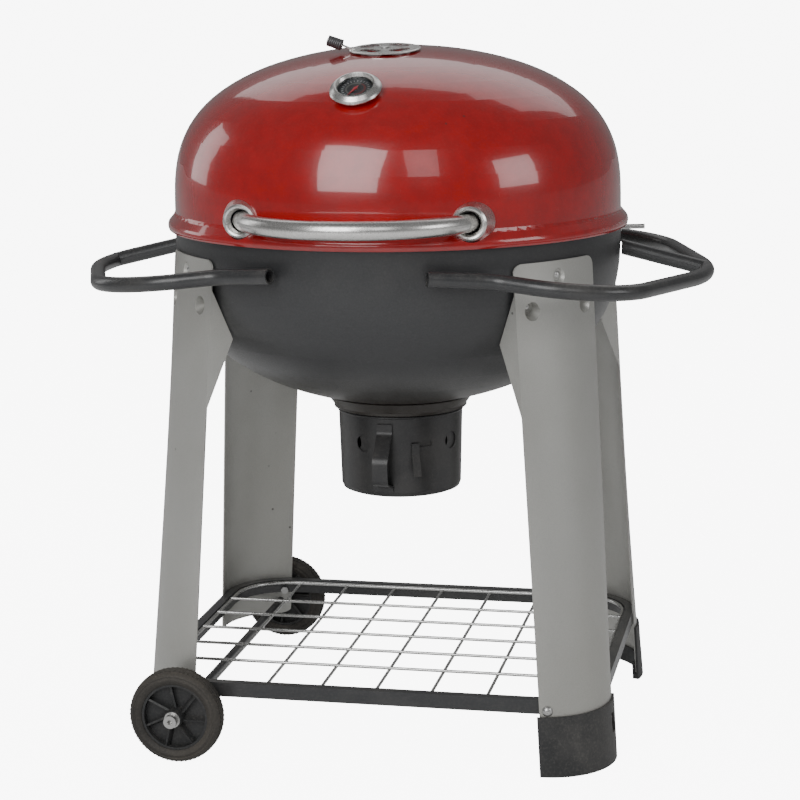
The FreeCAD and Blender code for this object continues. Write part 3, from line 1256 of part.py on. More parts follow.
def make_tabs(drop, reach_to, rim_r):
    """Ledges screwed inside the bowl that carry a grate, one at each azimuth."""
    tabs = []
    top = SEAM_Z - drop - rim_r - 0.3
    for azimuth in TAB_AZIMUTHS:
        wall = bowl_radius(drop + rim_r + 14) - SHEET - 0.6
        outline = [Vector(reach_to, 0, top), Vector(wall + 4, 0, top),
                   Vector(wall + 4, 0, top - 14), Vector(wall - TAB_SHEET, 0, top - 14),
                   Vector(wall - TAB_SHEET, 0, top - TAB_SHEET), Vector(reach_to, 0, top - TAB_SHEET)]
        tab = Part.Face(Part.makePolygon(outline + [outline[0]]))
        tab = tab.extrude(Vector(0, TAB_WIDTH, 0))
        tab.translate(Vector(0, -TAB_WIDTH / 2, 0))
        tab.rotate(ORIGIN, UP, azimuth - 90 + 45)
        tabs.append(tab)
    inside = bowl_solid(-SHEET - 0.3)
    return [tab.common(inside) for tab in tabs]


# ---------------------------------------------------------------- the whole grill
def main():
    os.makedirs(PARTS_DIR, exist_ok=True)
    # legs, feet and what joins them to the bowl
    leg_shapes = {"wheel": make_leg(WHEEL_LEG_END_Z), "foot": make_leg(FOOT_LEG_END_Z)}
    corners = {"front_left": (-1, -1), "front_right": (1, -1),
               "back_left": (-1, 1), "back_right": (1, 1)}
    seat, way = shelf_screw_place()
    shelf_hole = rod(seat.sub(way * 40), seat.add(way * 5), 2.5)
    length = LEG_SHEET + RAIL_CLEARANCE + RAIL_WIDTH + 7
    shelf_screw = domed_screw(seat.add(way * 0.35), way, 6.5, 4, 2.5, length)
    shelf_nut = hexagon_bar(seat.sub(way * (length - 1)), way, 5.5, 4)
    shelf_screw = fused([shelf_screw, shelf_nut])
    foot, foot_screw, foot_hole = make_foot()
    axle_hole = rod(Vector(AXLE_X, -400, WHEEL_R), Vector(AXLE_X, 400, WHEEL_R), AXLE_R + 0.15)
    leg_screws = []
    bowl_holes = []
    shelf_screws = []
    shelf_holes = []
    for name, (side_x, side_y) in corners.items():
        kind = "wheel" if side_x < 0 else "foot"
        plate, screws, holes = leg_shapes[kind]
        plate = plate.cut(shelf_hole)
        if kind == "foot":
            plate = plate.cut(foot_hole)
        leg = placed_leg(plate, side_x, side_y)
        if kind == "wheel":
            leg = leg.cut(axle_hole)
        save("leg_" + name, leg)
        leg_screws += [placed_leg(s, side_x, side_y) for s in screws]
        bowl_holes += [placed_leg(s, side_x, side_y) for s in holes]
        shelf_screws.append(placed_leg(shelf_screw, side_x, side_y))
        shelf_holes.append(placed_leg(shelf_hole, side_x, side_y))
    save("leg_screws", group(leg_screws))
    save("foot_front_right", placed_leg(foot, 1, -1))
    save("foot_back_right", placed_leg(foot, 1, 1))
    save("foot_screws", group([placed_leg(foot_screw, 1, -1), placed_leg(foot_screw, 1, 1)]))

    frame, wires = make_shelf()
    save("shelf_frame", frame.cut(shelf_holes))
    save("shelf_wires", wires)
    save("shelf_screws", group(shelf_screws))

    axle, caps = make_axle()
    save("axle", axle)
    save("axle_caps", group(caps))
    tyre, hub = make_wheel()
    for name, side in (("front", -1), ("back", 1)):
        save("tyre_" + name, placed_wheel(tyre, side))
        save("hub_" + name, placed_wheel(hub, side))

    # kettle
    handle, posts, handle_screws, _ = make_side_handle()
    flip = Vector(1, 0, 0)
    save("side_handle_right", handle)
    save("side_handle_left", mirrored(handle, flip))
    save("side_handle_posts", group(posts + [mirrored(p, flip) for p in posts]))
    side_screws = handle_screws + [mirrored(s, flip) for s in handle_screws]
    save("side_handle_screws", group(side_screws))
    bowl_holes += side_screws
    peg = make_peg()
    save("tool_peg", peg)
    bracket, pin, leaf, leaf_screws, bracket_screws = make_hinge()
    save("hinge_bracket", bracket)
    save("hinge_pin", pin)
    save("hinge_leaf", leaf)
    save("hinge_leaf_screws", group(leaf_screws))
    save("hinge_bracket_screws", group(bracket_screws))
    peg_hole = rod(polar(200, PEG_AZIMUTH, SEAM_Z - PEG_DROP),
                   polar(300, PEG_AZIMUTH, SEAM_Z - PEG_DROP), PEG_R)
    save("bowl", make_bowl(bowl_holes + bracket_screws + [peg_hole]))
    save("grate_tabs", group(make_tabs(GRATE_DROP, GRATE_R - 10, GRATE_RIM_R * 1.9)))
    save("coal_grate_tabs", group(make_tabs(COAL_DROP, COAL_R - 12, COAL_RIM_R * 1.9)))
    save("cooking_grate", bar_grate(GRATE_R, GRATE_RIM_R, GRATE_BAR_R, GRATE_PITCH,
                                    SEAM_Z - GRATE_DROP, 2))
    save("charcoal_grate", bar_grate(COAL_R, COAL_RIM_R, COAL_BAR_R, COAL_PITCH,
                                     SEAM_Z - COAL_DROP, 2))

    # lid
    save("lid_shell", make_lid_shell(leaf_screws))
    save("lid_handle", make_lid_handle())
    save("lid_handle_cups", make_grip_cups())
    save("lid_handle_bolts", make_grip_bolts())
    bezel, dial, glass, stem, needle = make_thermometer()
    save("thermometer_bezel", bezel)
    save("thermometer_dial", dial)
    save("thermometer_glass", glass)
    save("thermometer_stem", stem)
    save("thermometer_needle", needle)
    disc, lever, knob, rivet = make_damper()
    save("damper_disc", disc)
    save("damper_lever", lever)
    save("damper_knob", knob)
    save("damper_rivet", rivet)

    # ash catcher
    save("ash_collar", make_collar())
    can, strap = make_can()
    save("ash_can", can)
    save("ash_can_handle", strap)
    ring, ash_lever = make_air_ring()
    save("air_ring", ring)
    save("air_ring_lever", ash_lever)


main()
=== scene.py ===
import json
import math

import bmesh
import bpy
from mathutils import Matrix, Vector


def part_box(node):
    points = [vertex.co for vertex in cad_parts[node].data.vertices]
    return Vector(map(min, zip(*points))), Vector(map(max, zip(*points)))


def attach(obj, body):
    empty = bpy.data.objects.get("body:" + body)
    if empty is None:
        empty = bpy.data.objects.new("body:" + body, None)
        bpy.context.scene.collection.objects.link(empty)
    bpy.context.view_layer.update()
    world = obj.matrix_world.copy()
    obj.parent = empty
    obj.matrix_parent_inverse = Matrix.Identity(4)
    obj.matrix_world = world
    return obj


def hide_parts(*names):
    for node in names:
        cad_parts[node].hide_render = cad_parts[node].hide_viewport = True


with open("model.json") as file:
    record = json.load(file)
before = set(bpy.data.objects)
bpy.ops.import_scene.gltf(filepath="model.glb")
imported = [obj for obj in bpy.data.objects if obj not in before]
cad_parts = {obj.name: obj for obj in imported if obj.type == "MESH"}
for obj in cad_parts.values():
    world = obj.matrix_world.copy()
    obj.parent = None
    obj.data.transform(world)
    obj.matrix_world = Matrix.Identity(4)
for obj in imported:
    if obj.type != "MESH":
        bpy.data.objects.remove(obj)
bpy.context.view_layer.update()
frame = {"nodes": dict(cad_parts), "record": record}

# Sizes in metres, in the frame's own axes: front towards -Y, the floor at Z = 0.
KETTLE_Y = 0.018            # the kettle's upright axis
SEAM = 0.638                # lower edge of the closed lid
SHELF_Z = 0.085
RAIL_TOP = SHELF_Z + 0.009
GRATE_Z = SEAM - 0.022
COAL_Z = SEAM - 0.136
WHEEL_Z = 0.059
AXLE_X = -0.231
WIRE_R = 0.002             # straight wires of the shelf and of the cooking grate
EDGE_WIRE_R = 0.0025


# ------------------------------------------------------------------ shader helpers
class Sheet:
    """Short ways of adding and joining nodes in one material or node group."""

    def __init__(self, tree):
        self.tree = tree

    def add(self, kind, **settings):
        node = self.tree.nodes.new(kind)
        for name, value in settings.items():
            setattr(node, name, value)
        return node

    def join(self, source, target):
        self.tree.links.new(source, target)

    def put(self, target, value):
        if hasattr(value, "is_output"):
            self.join(value, target)
        else:
            target.default_value = value

    def noise(self, vector, scale, detail=4.0, roughness=0.55, distortion=0.0):
        node = self.add("ShaderNodeTexNoise")
        self.join(vector, node.inputs["Vector"])
        self.put(node.inputs["Scale"], scale)
        node.inputs["Detail"].default_value = detail
        node.inputs["Roughness"].default_value = roughness
        node.inputs["Distortion"].default_value = distortion
        return node.outputs["Fac"]

    def ramp(self, value, low, high, out_low=0.0, out_high=1.0):
        node = self.add("ShaderNodeMapRange", clamp=True, interpolation_type="SMOOTHSTEP")
        self.join(value, node.inputs["Value"])
        self.put(node.inputs["From Min"], low)
        self.put(node.inputs["From Max"], high)
        self.put(node.inputs["To Min"], out_low)
        self.put(node.inputs["To Max"], out_high)
        return node.outputs["Result"]

    def math(self, operation, a, b=0.0):
        node = self.add("ShaderNodeMath", operation=operation)
        self.put(node.inputs[0], a)
        self.put(node.inputs[1], b)
        return node.outputs[0]

    def mix(self, factor, a, b):
        node = self.add("ShaderNodeMix", data_type="RGBA")
        self.put(node.inputs["Factor"], factor)
        self.put(node.inputs[6], a)
        self.put(node.inputs[7], b)
        return node.outputs[2]

    def scaled(self, vector, amounts):
        node = self.add("ShaderNodeVectorMath", operation="MULTIPLY")
        self.join(vector, node.inputs[0])
        node.inputs[1].default_value = amounts
        return node.outputs[0]


def new_group(name, inputs, outputs):
    """Shader group with float inputs (name, default) and outputs (name, kind)."""
    group = bpy.data.node_groups.new(name, "ShaderNodeTree")
    for label, value in inputs:
        socket = group.interface.new_socket(label, in_out="INPUT", socket_type="NodeSocketFloat")
        socket.default_value = value
    for label, kind in outputs:
        group.interface.new_socket(label, in_out="OUTPUT", socket_type=kind)
    sheet = Sheet(group)
    return group, sheet, sheet.add("NodeGroupInput"), sheet.add("NodeGroupOutput")


def grain_group():
    """Fine surface grain: a value for roughness and a bumped normal."""
    group, s, given, out = new_group("Surface grain",
                                     [("Scale", 400.0), ("Height", 0.1), ("Stretch", 1.0)],
                                     [("Value", "NodeSocketFloat"), ("Normal", "NodeSocketVector")])
    coords = s.add("ShaderNodeTexCoord")
    spread = s.add("ShaderNodeCombineXYZ")
    spread.inputs[0].default_value = 1.0
    s.join(given.outputs["Stretch"], spread.inputs[1])
    spread.inputs[2].default_value = 1.0
    product = s.add("ShaderNodeVectorMath", operation="MULTIPLY")
    s.join(coords.outputs["Object"], product.inputs[0])
    s.join(spread.outputs[0], product.inputs[1])
    fine = s.noise(product.outputs[0], given.outputs["Scale"], 5.0, 0.6)
    bump = s.add("ShaderNodeBump")
    bump.inputs["Distance"].default_value = 0.001
    s.join(given.outputs["Height"], bump.inputs["Strength"])
    s.join(fine, bump.inputs["Height"])
    s.join(fine, out.inputs["Value"])
    s.join(bump.outputs["Normal"], out.inputs["Normal"])
    return group


def dust_group():
    """Dust that settles on faces turned upwards, broken up by two sizes of noise."""
    group, s, given, out = new_group("Settled dust", [("Amount", 0.3), ("Scale", 18.0)],
                                     [("Mask", "NodeSocketFloat")])
    coords = s.add("ShaderNodeTexCoord")
    place = s.add("ShaderNodeNewGeometry")
    split = s.add("ShaderNodeSeparateXYZ")
    s.join(place.outputs["Normal"], split.inputs[0])
    upward = s.ramp(split.outputs[2], -0.4, 1.0, 0.25, 1.0)
    broad = s.ramp(s.noise(coords.outputs["Object"], given.outputs["Scale"], 6.0), 0.42, 0.72)
    fine = s.ramp(s.noise(coords.outputs["Object"], 340.0, 3.0), 0.45, 0.75)
    both = s.math("MULTIPLY", s.math("ADD", broad, s.math("MULTIPLY", fine, 0.6)), upward)
    s.join(s.math("MULTIPLY", both, given.outputs["Amount"]), out.inputs["Mask"])
    return group


def scuff_group():
    """Thin scuffs in two directions and a few round chips."""
    group, s, given, out = new_group("Scuffs and chips", [("Scuffs", 0.5), ("Chips", 0.5)],
                                     [("Scuff mask", "NodeSocketFloat"),
                                      ("Chip mask", "NodeSocketFloat")])
    coords = s.add("ShaderNodeTexCoord").outputs["Object"]
    along = s.ramp(s.noise(s.scaled(coords, (9.0, 9.0, 160.0)), 4.0, 6.0, 0.7), 0.66, 0.72)
    across = s.ramp(s.noise(s.scaled(coords, (150.0, 130.0, 7.0)), 3.0, 6.0, 0.7), 0.67, 0.73)
    patch = s.ramp(s.noise(coords, 9.0, 2.0), 0.5, 0.62)
    scuffs = s.math("MULTIPLY", s.math("MAXIMUM", along, across), patch)
    s.join(s.math("MULTIPLY", scuffs, given.outputs["Scuffs"]), out.inputs["Scuff mask"])
    cells = s.add("ShaderNodeTexVoronoi")
    s.join(coords, cells.inputs["Vector"])
    cells.inputs["Scale"].default_value = 42.0
    dots = s.ramp(cells.outputs["Distance"], 0.09, 0.05)
    rare = s.ramp(s.noise(coords, 14.0, 1.0), 0.6, 0.66)
    chips = s.math("MULTIPLY", dots, rare)
    s.join(s.math("MULTIPLY", chips, given.outputs["Chips"]), out.inputs["Chip mask"])
    return group


GRAIN = grain_group()
DUST = dust_group()
SCUFFS = scuff_group()


def finish_material(name, color, metallic=0.0, roughness=0.4, rough_spread=0.1, grain=(400.0, 0.1, 1.0),
                    dust=(0.2, 18.0), dust_color=(0.42, 0.39, 0.35, 1), scuffs=(0.3, 0.2),
                    scuff_color=(0.5, 0.5, 0.5, 1), chip_color=(0.02, 0.018, 0.016, 1),
                    coat=0.0, coat_roughness=0.03, shift=None, slow=None):
    """Principled surface with grain, settled dust, scuffs and chips over a base colour.

    shift = (colour, low, high) blends towards a colour between two heights of Z.
    slow = (colour, scale, strength) blends in a broad blotchy second colour.
    """
    material = bpy.data.materials.new(name)
    material.use_nodes = True
    tree = material.node_tree
    s = Sheet(tree)
    shader = tree.nodes["Principled BSDF"]
    grains = s.add("ShaderNodeGroup", node_tree=GRAIN)
    grains.inputs["Scale"].default_value = grain[0]
    grains.inputs["Height"].default_value = grain[1]
    grains.inputs["Stretch"].default_value = grain[2]
    dusts = s.add("ShaderNodeGroup", node_tree=DUST)
    dusts.inputs["Amount"].default_value = dust[0]
    dusts.inputs["Scale"].default_value = dust[1]
    marks = s.add("ShaderNodeGroup", node_tree=SCUFFS)
    marks.inputs["Scuffs"].default_value = scuffs[0]
    marks.inputs["Chips"].default_value = scuffs[1]
    coords = s.add("ShaderNodeTexCoord").outputs["Object"]
    base = tuple(color) + (1,)
    if slow:
        blotch = s.ramp(s.noise(coords, slow[1], 3.0), 0.35, 0.7, 0.0, slow[2])
        base = s.mix(blotch, base, tuple(slow[0]) + (1,))
    if shift:
        split = s.add("ShaderNodeSeparateXYZ")
        s.join(coords, split.inputs[0])
        wander = s.math("MULTIPLY", s.noise(coords, 11.0, 4.0), 0.06)
        height = s.math("ADD", split.outputs[2], wander)
        base = s.mix(s.ramp(height, shift[1], shift[2]), base, tuple(shift[0]) + (1,))
    tone = s.mix(s.ramp(grains.outputs["Value"], 0.3, 0.7, 0.0, 0.18), base, (0, 0, 0, 1))
    tone = s.mix(marks.outputs["Scuff mask"], tone, scuff_color)
    tone = s.mix(marks.outputs["Chip mask"], tone, chip_color)
    tone = s.mix(dusts.outputs["Mask"], tone, dust_color)
    s.join(tone, shader.inputs["Base Color"])
    rough = s.ramp(grains.outputs["Value"], 0.3, 0.7, roughness - rough_spread / 2,
                   roughness + rough_spread / 2)
    rough = s.math("ADD", rough, s.math("MULTIPLY", dusts.outputs["Mask"], 0.5))
    rough = s.math("ADD", rough, s.math("MULTIPLY", marks.outputs["Scuff mask"], 0.2))
    s.join(s.math("MINIMUM", rough, 0.95), shader.inputs["Roughness"])
    if metallic:
        clean = s.math("SUBTRACT", 1.0, s.math("MINIMUM", dusts.outputs["Mask"], 1.0))
        s.join(s.math("MULTIPLY", clean, metallic), shader.inputs["Metallic"])
    s.join(grains.outputs["Normal"], shader.inputs["Normal"])
    shader.inputs["Coat Weight"].default_value = coat
    shader.inputs["Coat Roughness"].default_value = coat_roughness
    return material


def dial_material():
    """Dark dial with a pale ring, ticks and a red and a yellow arc, in the dial's own axes."""
    material = bpy.data.materials.new("dial_face")
    material.use_nodes = True
    tree = material.node_tree
    s = Sheet(tree)
    shader = tree.nodes["Principled BSDF"]
    centre, turn = dial_axes()
    place = s.add("ShaderNodeMapping", vector_type="TEXTURE")
    place.inputs["Location"].default_value = centre
    place.inputs["Rotation"].default_value = turn
    s.join(s.add("ShaderNodeTexCoord").outputs["Object"], place.inputs["Vector"])
    split = s.add("ShaderNodeSeparateXYZ")
    s.join(place.outputs[0], split.inputs[0])
    x, y = split.outputs[0], split.outputs[1]
    radius = s.math("SQRT", s.math("ADD", s.math("MULTIPLY", x, x), s.math("MULTIPLY", y, y)))
    angle = s.math("ARCTAN2", x, y)
    turns = s.math("MULTIPLY", angle, 24 / (2 * math.pi))
    tick = s.ramp(s.math("ABSOLUTE", s.math("SUBTRACT", s.math("FRACT", turns), 0.5)), 0.40, 0.44)
    ring = s.math("MULTIPLY", s.ramp(radius, 0.0140, 0.0143), s.ramp(radius, 0.0172, 0.0168))
    band = s.math("MULTIPLY", s.ramp(radius, 0.0098, 0.0101), s.ramp(radius, 0.0124, 0.0121))
    hot = s.math("MULTIPLY", band, s.ramp(angle, 0.5, 0.52))
    warm = s.math("MULTIPLY", band, s.ramp(angle, 0.48, 0.46))
    color = s.mix(s.math("MULTIPLY", tick, ring), (0.035, 0.037, 0.04, 1), (0.62, 0.62, 0.6, 1))
    color = s.mix(s.math("MULTIPLY", hot, 0.35), color, (0.4, 0.05, 0.04, 1))
    color = s.mix(s.math("MULTIPLY", warm, 0.3), color, (0.35, 0.33, 0.3, 1))
    s.join(color, shader.inputs["Base Color"])
    shader.inputs["Roughness"].default_value = 0.45
    return material


def dial_axes():
    """Middle of the dial and the turn that takes world axes onto its own."""
    low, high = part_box("thermometer_dial")
    centre = (Vector(low) + Vector(high)) / 2
    normal = Vector((0.0, -0.527, 0.850)).normalized()
    side = Vector((1, 0, 0))
    up = normal.cross(side)
    turn = Matrix((side, up, normal)).transposed().to_euler()
    return tuple(centre), tuple(turn)


def glass_material():
    """Clear cover of the dial with faint smears."""
    material = bpy.data.materials.new("dial_glass")
    material.use_nodes = True
    s = Sheet(material.node_tree)
    shader = material.node_tree.nodes["Principled BSDF"]
    shader.inputs["Transmission Weight"].default_value = 1.0
    shader.inputs["IOR"].default_value = 1.1
    shader.inputs["Base Color"].default_value = (0.93, 0.95, 0.95, 1)
    smear = s.noise(s.add("ShaderNodeTexCoord").outputs["Object"], 90.0, 3.0)
    s.join(s.ramp(smear, 0.4, 0.8, 0.02, 0.12), shader.inputs["Roughness"])
    return material


def make_materials():
    """Every finish, by the name of the record's material slot."""
    steel = dict(metallic=1.0, dust=(0.06, 20.0), scuffs=(0.25, 0.0))
    made = {
        "red_enamel": finish_material("red_enamel", (0.38, 0.002, 0.003), roughness=0.22,
                                      rough_spread=0.04, grain=(55.0, 0.02, 1.0), dust=(0.02, 12.0),
                                      scuffs=(0.05, 0.5), coat=1.0, coat_roughness=0.04,
                                      slow=((0.33, 0.002, 0.004), 3.0, 0.4)),
        "black_enamel": finish_material("black_enamel", (0.030, 0.031, 0.033), roughness=0.42,
                                        grain=(520.0, 0.10, 1.0), dust=(0.07, 10.0),
                                        scuffs=(0.12, 0.1), coat=0.25, coat_roughness=0.3,
                                        shift=((0.030, 0.025, 0.020), 0.52, 0.44)),
        "silver_paint": finish_material("silver_paint", (0.50, 0.50, 0.475), metallic=0.55,
                                        roughness=0.42, grain=(1500.0, 0.06, 1.0),
                                        dust=(0.08, 14.0), scuffs=(0.10, 0.6),
                                        scuff_color=(0.30, 0.29, 0.27, 1),
                                        slow=((0.43, 0.425, 0.39), 5.0, 0.6)),
        "black_tube": finish_material("black_tube", (0.032, 0.033, 0.035), roughness=0.34,
                                      grain=(700.0, 0.08, 1.0), dust=(0.12, 16.0),
                                      scuffs=(0.35, 0.1), coat=0.3, coat_roughness=0.2),
        "stainless": finish_material("stainless", (0.80, 0.79, 0.77), roughness=0.27,
                                     rough_spread=0.10, grain=(260.0, 0.03, 9.0), **steel),
        "zinc": finish_material("zinc", (0.58, 0.58, 0.57), roughness=0.34,
                                grain=(900.0, 0.08, 1.0), **steel),
        "ash_steel": finish_material("ash_steel", (0.026, 0.026, 0.027), roughness=0.40,
                                     grain=(600.0, 0.08, 1.0), dust=(0.10, 16.0),
                                     scuffs=(0.25, 0.2), coat=0.15, coat_roughness=0.3,
                                     shift=((0.085, 0.058, 0.035), 0.315, 0.296)),
        "bright_wire": finish_material("bright_wire", (0.64, 0.64, 0.63), roughness=0.26,
                                       grain=(500.0, 0.04, 1.0), **steel),
        "coal_bar": finish_material("coal_bar", (0.24, 0.21, 0.19), metallic=0.7, roughness=0.6,
                                    grain=(300.0, 0.3, 1.0), dust=(0.4, 20.0),
                                    slow=((0.16, 0.07, 0.035), 25.0, 0.8)),
        "black_moulding": finish_material("black_moulding", (0.024, 0.025, 0.026), roughness=0.50,
                                          grain=(900.0, 0.12, 1.0), dust=(0.22, 9.0),
                                          scuffs=(0.25, 0.15)),
        "tyre": finish_material("tyre", (0.034, 0.031, 0.027), roughness=0.66,
                                grain=(420.0, 0.18, 1.0), dust=(0.20, 12.0),
                                dust_color=(0.30, 0.26, 0.21, 1), scuffs=(0.2, 0.1)),
        "knob_coil": finish_material("knob_coil", (0.16, 0.16, 0.165), metallic=0.8,
                                     roughness=0.42, grain=(500.0, 0.1, 1.0)),
        "needle_paint": finish_material("needle_paint", (0.62, 0.05, 0.06), roughness=0.4),
        "dial_face": dial_material(),
        "dial_glass": glass_material(),
    }
    return made


MATERIALS = make_materials()


# ------------------------------------------------------------------ geometry nodes
def node_in(group, kind, **settings):
    """New node in a geometry node group."""
    node = group.nodes.new(kind)
    for name, value in settings.items():
        setattr(node, name, value)
    return node


def arithmetic(group, operation, a, b=0.0):
    """Output of one sum on two values or sockets."""
    node = node_in(group, "ShaderNodeMath", operation=operation)
    for socket, value in zip(node.inputs, (a, b)):
        if hasattr(value, "is_output"):
            group.links.new(value, socket)
        else:
            socket.default_value = value
    return node.outputs[0]


def bar_row_group():
    """Row of round bars along Y, spaced along X, each as long as a circle or a span allows."""
    group = bpy.data.node_groups.new("Bar row", "GeometryNodeTree")
    face = group.interface
    face.new_socket("Geometry", in_out="OUTPUT", socket_type="NodeSocketGeometry")
    face.new_socket("Count", in_out="INPUT", socket_type="NodeSocketInt")
    for name in ("Pitch", "Shift", "Half span", "Circle radius", "Bar radius", "Height"):
        face.new_socket(name, in_out="INPUT", socket_type="NodeSocketFloat")
    face.new_socket("Material", in_out="INPUT", socket_type="NodeSocketMaterial")
    link = group.links.new
    given = node_in(group, "NodeGroupInput").outputs
    out = node_in(group, "NodeGroupOutput")
    line = node_in(group, "GeometryNodeMeshLine", mode="OFFSET")
    half = arithmetic(group, "MULTIPLY", arithmetic(group, "SUBTRACT", given["Count"], 1.0), -0.5)
    first = arithmetic(group, "ADD", arithmetic(group, "MULTIPLY", half, given["Pitch"]),
                       given["Shift"])
    start = node_in(group, "ShaderNodeCombineXYZ")
    link(first, start.inputs[0])
    link(given["Height"], start.inputs[2])
    step = node_in(group, "ShaderNodeCombineXYZ")
    link(given["Pitch"], step.inputs[0])
    link(given["Count"], line.inputs["Count"])
    link(start.outputs[0], line.inputs["Start Location"])
    link(step.outputs[0], line.inputs["Offset"])
    bar = node_in(group, "GeometryNodeMeshCylinder")
    bar.inputs["Vertices"].default_value = 16
    bar.inputs["Depth"].default_value = 2.0
    link(given["Bar radius"], bar.inputs["Radius"])
    lay = node_in(group, "GeometryNodeTransform")
    lay.inputs["Rotation"].default_value = (math.pi / 2, 0, 0)
    link(bar.outputs["Mesh"], lay.inputs["Geometry"])
    place = node_in(group, "ShaderNodeSeparateXYZ")
    link(node_in(group, "GeometryNodeInputPosition").outputs[0], place.inputs[0])
    square = arithmetic(group, "MULTIPLY", place.outputs[0], place.outputs[0])
    room = arithmetic(group, "SUBTRACT", arithmetic(group, "MULTIPLY", given["Circle radius"],
                                                    given["Circle radius"]), square)
    chord = arithmetic(group, "SQRT", arithmetic(group, "MAXIMUM", room, 0.0))
    reach = arithmetic(group, "MAXIMUM", chord, given["Half span"])
    scale = node_in(group, "ShaderNodeCombineXYZ")
    scale.inputs[0].default_value = 1.0
    scale.inputs[2].default_value = 1.0
    link(reach, scale.inputs[1])
    place_bars = node_in(group, "GeometryNodeInstanceOnPoints")
    link(line.outputs["Mesh"], place_bars.inputs["Points"])
    link(lay.outputs["Geometry"], place_bars.inputs["Instance"])
    link(scale.outputs[0], place_bars.inputs["Scale"])
    real = node_in(group, "GeometryNodeRealizeInstances")
    link(place_bars.outputs["Instances"], real.inputs["Geometry"])
    paint = node_in(group, "GeometryNodeSetMaterial")
    link(real.outputs["Geometry"], paint.inputs["Geometry"])
    link(given["Material"], paint.inputs["Material"])
    link(paint.outputs["Geometry"], out.inputs["Geometry"])
    return group


def tread_group():
    """Ring of small blocks round the X axis, all alike."""
    group = bpy.data.node_groups.new("Tread ring", "GeometryNodeTree")
    face = group.interface
    face.new_socket("Geometry", in_out="OUTPUT", socket_type="NodeSocketGeometry")
    face.new_socket("Count", in_out="INPUT", socket_type="NodeSocketInt")
    for name in ("Radius", "Block width", "Block length", "Block height"):
        face.new_socket(name, in_out="INPUT", socket_type="NodeSocketFloat")
    face.new_socket("Material", in_out="INPUT", socket_type="NodeSocketMaterial")
    link = group.links.new
    given = node_in(group, "NodeGroupInput").outputs
    out = node_in(group, "NodeGroupOutput")
    ring = node_in(group, "GeometryNodeMeshCircle")
    link(given["Count"], ring.inputs["Vertices"])
    link(given["Radius"], ring.inputs["Radius"])
    size = node_in(group, "ShaderNodeCombineXYZ")
    link(given["Block height"], size.inputs[0])
    link(given["Block length"], size.inputs[1])
    link(given["Block width"], size.inputs[2])
    block = node_in(group, "GeometryNodeMeshCube")
    link(size.outputs[0], block.inputs["Size"])
    spot = node_in(group, "ShaderNodeSeparateXYZ")
    link(node_in(group, "GeometryNodeInputPosition").outputs[0], spot.inputs[0])
    spin = arithmetic(group, "ARCTAN2", spot.outputs[1], spot.outputs[0])
    turn = node_in(group, "ShaderNodeCombineXYZ")
    link(spin, turn.inputs[2])
    blocks = node_in(group, "GeometryNodeInstanceOnPoints")
    link(ring.outputs["Mesh"], blocks.inputs["Points"])
    link(block.outputs["Mesh"], blocks.inputs["Instance"])
    link(turn.outputs[0], blocks.inputs["Rotation"])
    real = node_in(group, "GeometryNodeRealizeInstances")
    link(blocks.outputs["Instances"], real.inputs["Geometry"])
    paint = node_in(group, "GeometryNodeSetMaterial")
    link(real.outputs["Geometry"], paint.inputs["Geometry"])
    link(given["Material"], paint.inputs["Material"])
    link(paint.outputs["Geometry"], out.inputs["Geometry"])
    return group


def coil_group():
    """Wire wound round the Z axis."""
    group = bpy.data.node_groups.new("Wound wire", "GeometryNodeTree")
    face = group.interface
    face.new_socket("Geometry", in_out="OUTPUT", socket_type="NodeSocketGeometry")
    for name in ("Turns", "Radius", "Length", "Wire radius"):
        face.new_socket(name, in_out="INPUT", socket_type="NodeSocketFloat")
    face.new_socket("Material", in_out="INPUT", socket_type="NodeSocketMaterial")
    link = group.links.new
    given = node_in(group, "NodeGroupInput").outputs
    out = node_in(group, "NodeGroupOutput")
    coil = node_in(group, "GeometryNodeCurveSpiral")
    coil.inputs["Resolution"].default_value = 28
    link(given["Turns"], coil.inputs["Rotations"])
    link(given["Radius"], coil.inputs["Start Radius"])
    link(given["Radius"], coil.inputs["End Radius"])
    link(given["Length"], coil.inputs["Height"])
    wire = node_in(group, "GeometryNodeCurvePrimitiveCircle")
    wire.inputs["Resolution"].default_value = 10
    link(given["Wire radius"], wire.inputs["Radius"])
    sweep = node_in(group, "GeometryNodeCurveToMesh")
    sweep.inputs["Fill Caps"].default_value = True
    link(coil.outputs[0], sweep.inputs["Curve"])
    link(wire.outputs[0], sweep.inputs["Profile Curve"])
    real = node_in(group, "GeometryNodeRealizeInstances")
    link(sweep.outputs["Mesh"], real.inputs["Geometry"])
    paint = node_in(group, "GeometryNodeSetMaterial")
    link(real.outputs["Geometry"], paint.inputs["Geometry"])
    link(given["Material"], paint.inputs["Material"])
    link(paint.outputs["Geometry"], out.inputs["Geometry"])
    return group


BARS = bar_row_group()
TREAD = tread_group()
COIL = coil_group()


def grown(group, **values):
    """Plain mesh that a node group makes with the given inputs."""
    holder = bpy.data.objects.new("holder", bpy.data.meshes.new("holder"))
    bpy.context.collection.objects.link(holder)
    modifier = holder.modifiers.new("grow", "NODES")
    modifier.node_group = group
    for item in group.interface.items_tree:
        if item.item_type == "SOCKET" and item.in_out == "INPUT":
            modifier[item.identifier] = values[item.name.replace(" ", "_").lower()]
    depsgraph = bpy.context.evaluated_depsgraph_get()
    mesh = bpy.data.meshes.new_from_object(holder.evaluated_get(depsgraph))
    bpy.data.objects.remove(holder, do_unlink=True)
    return mesh


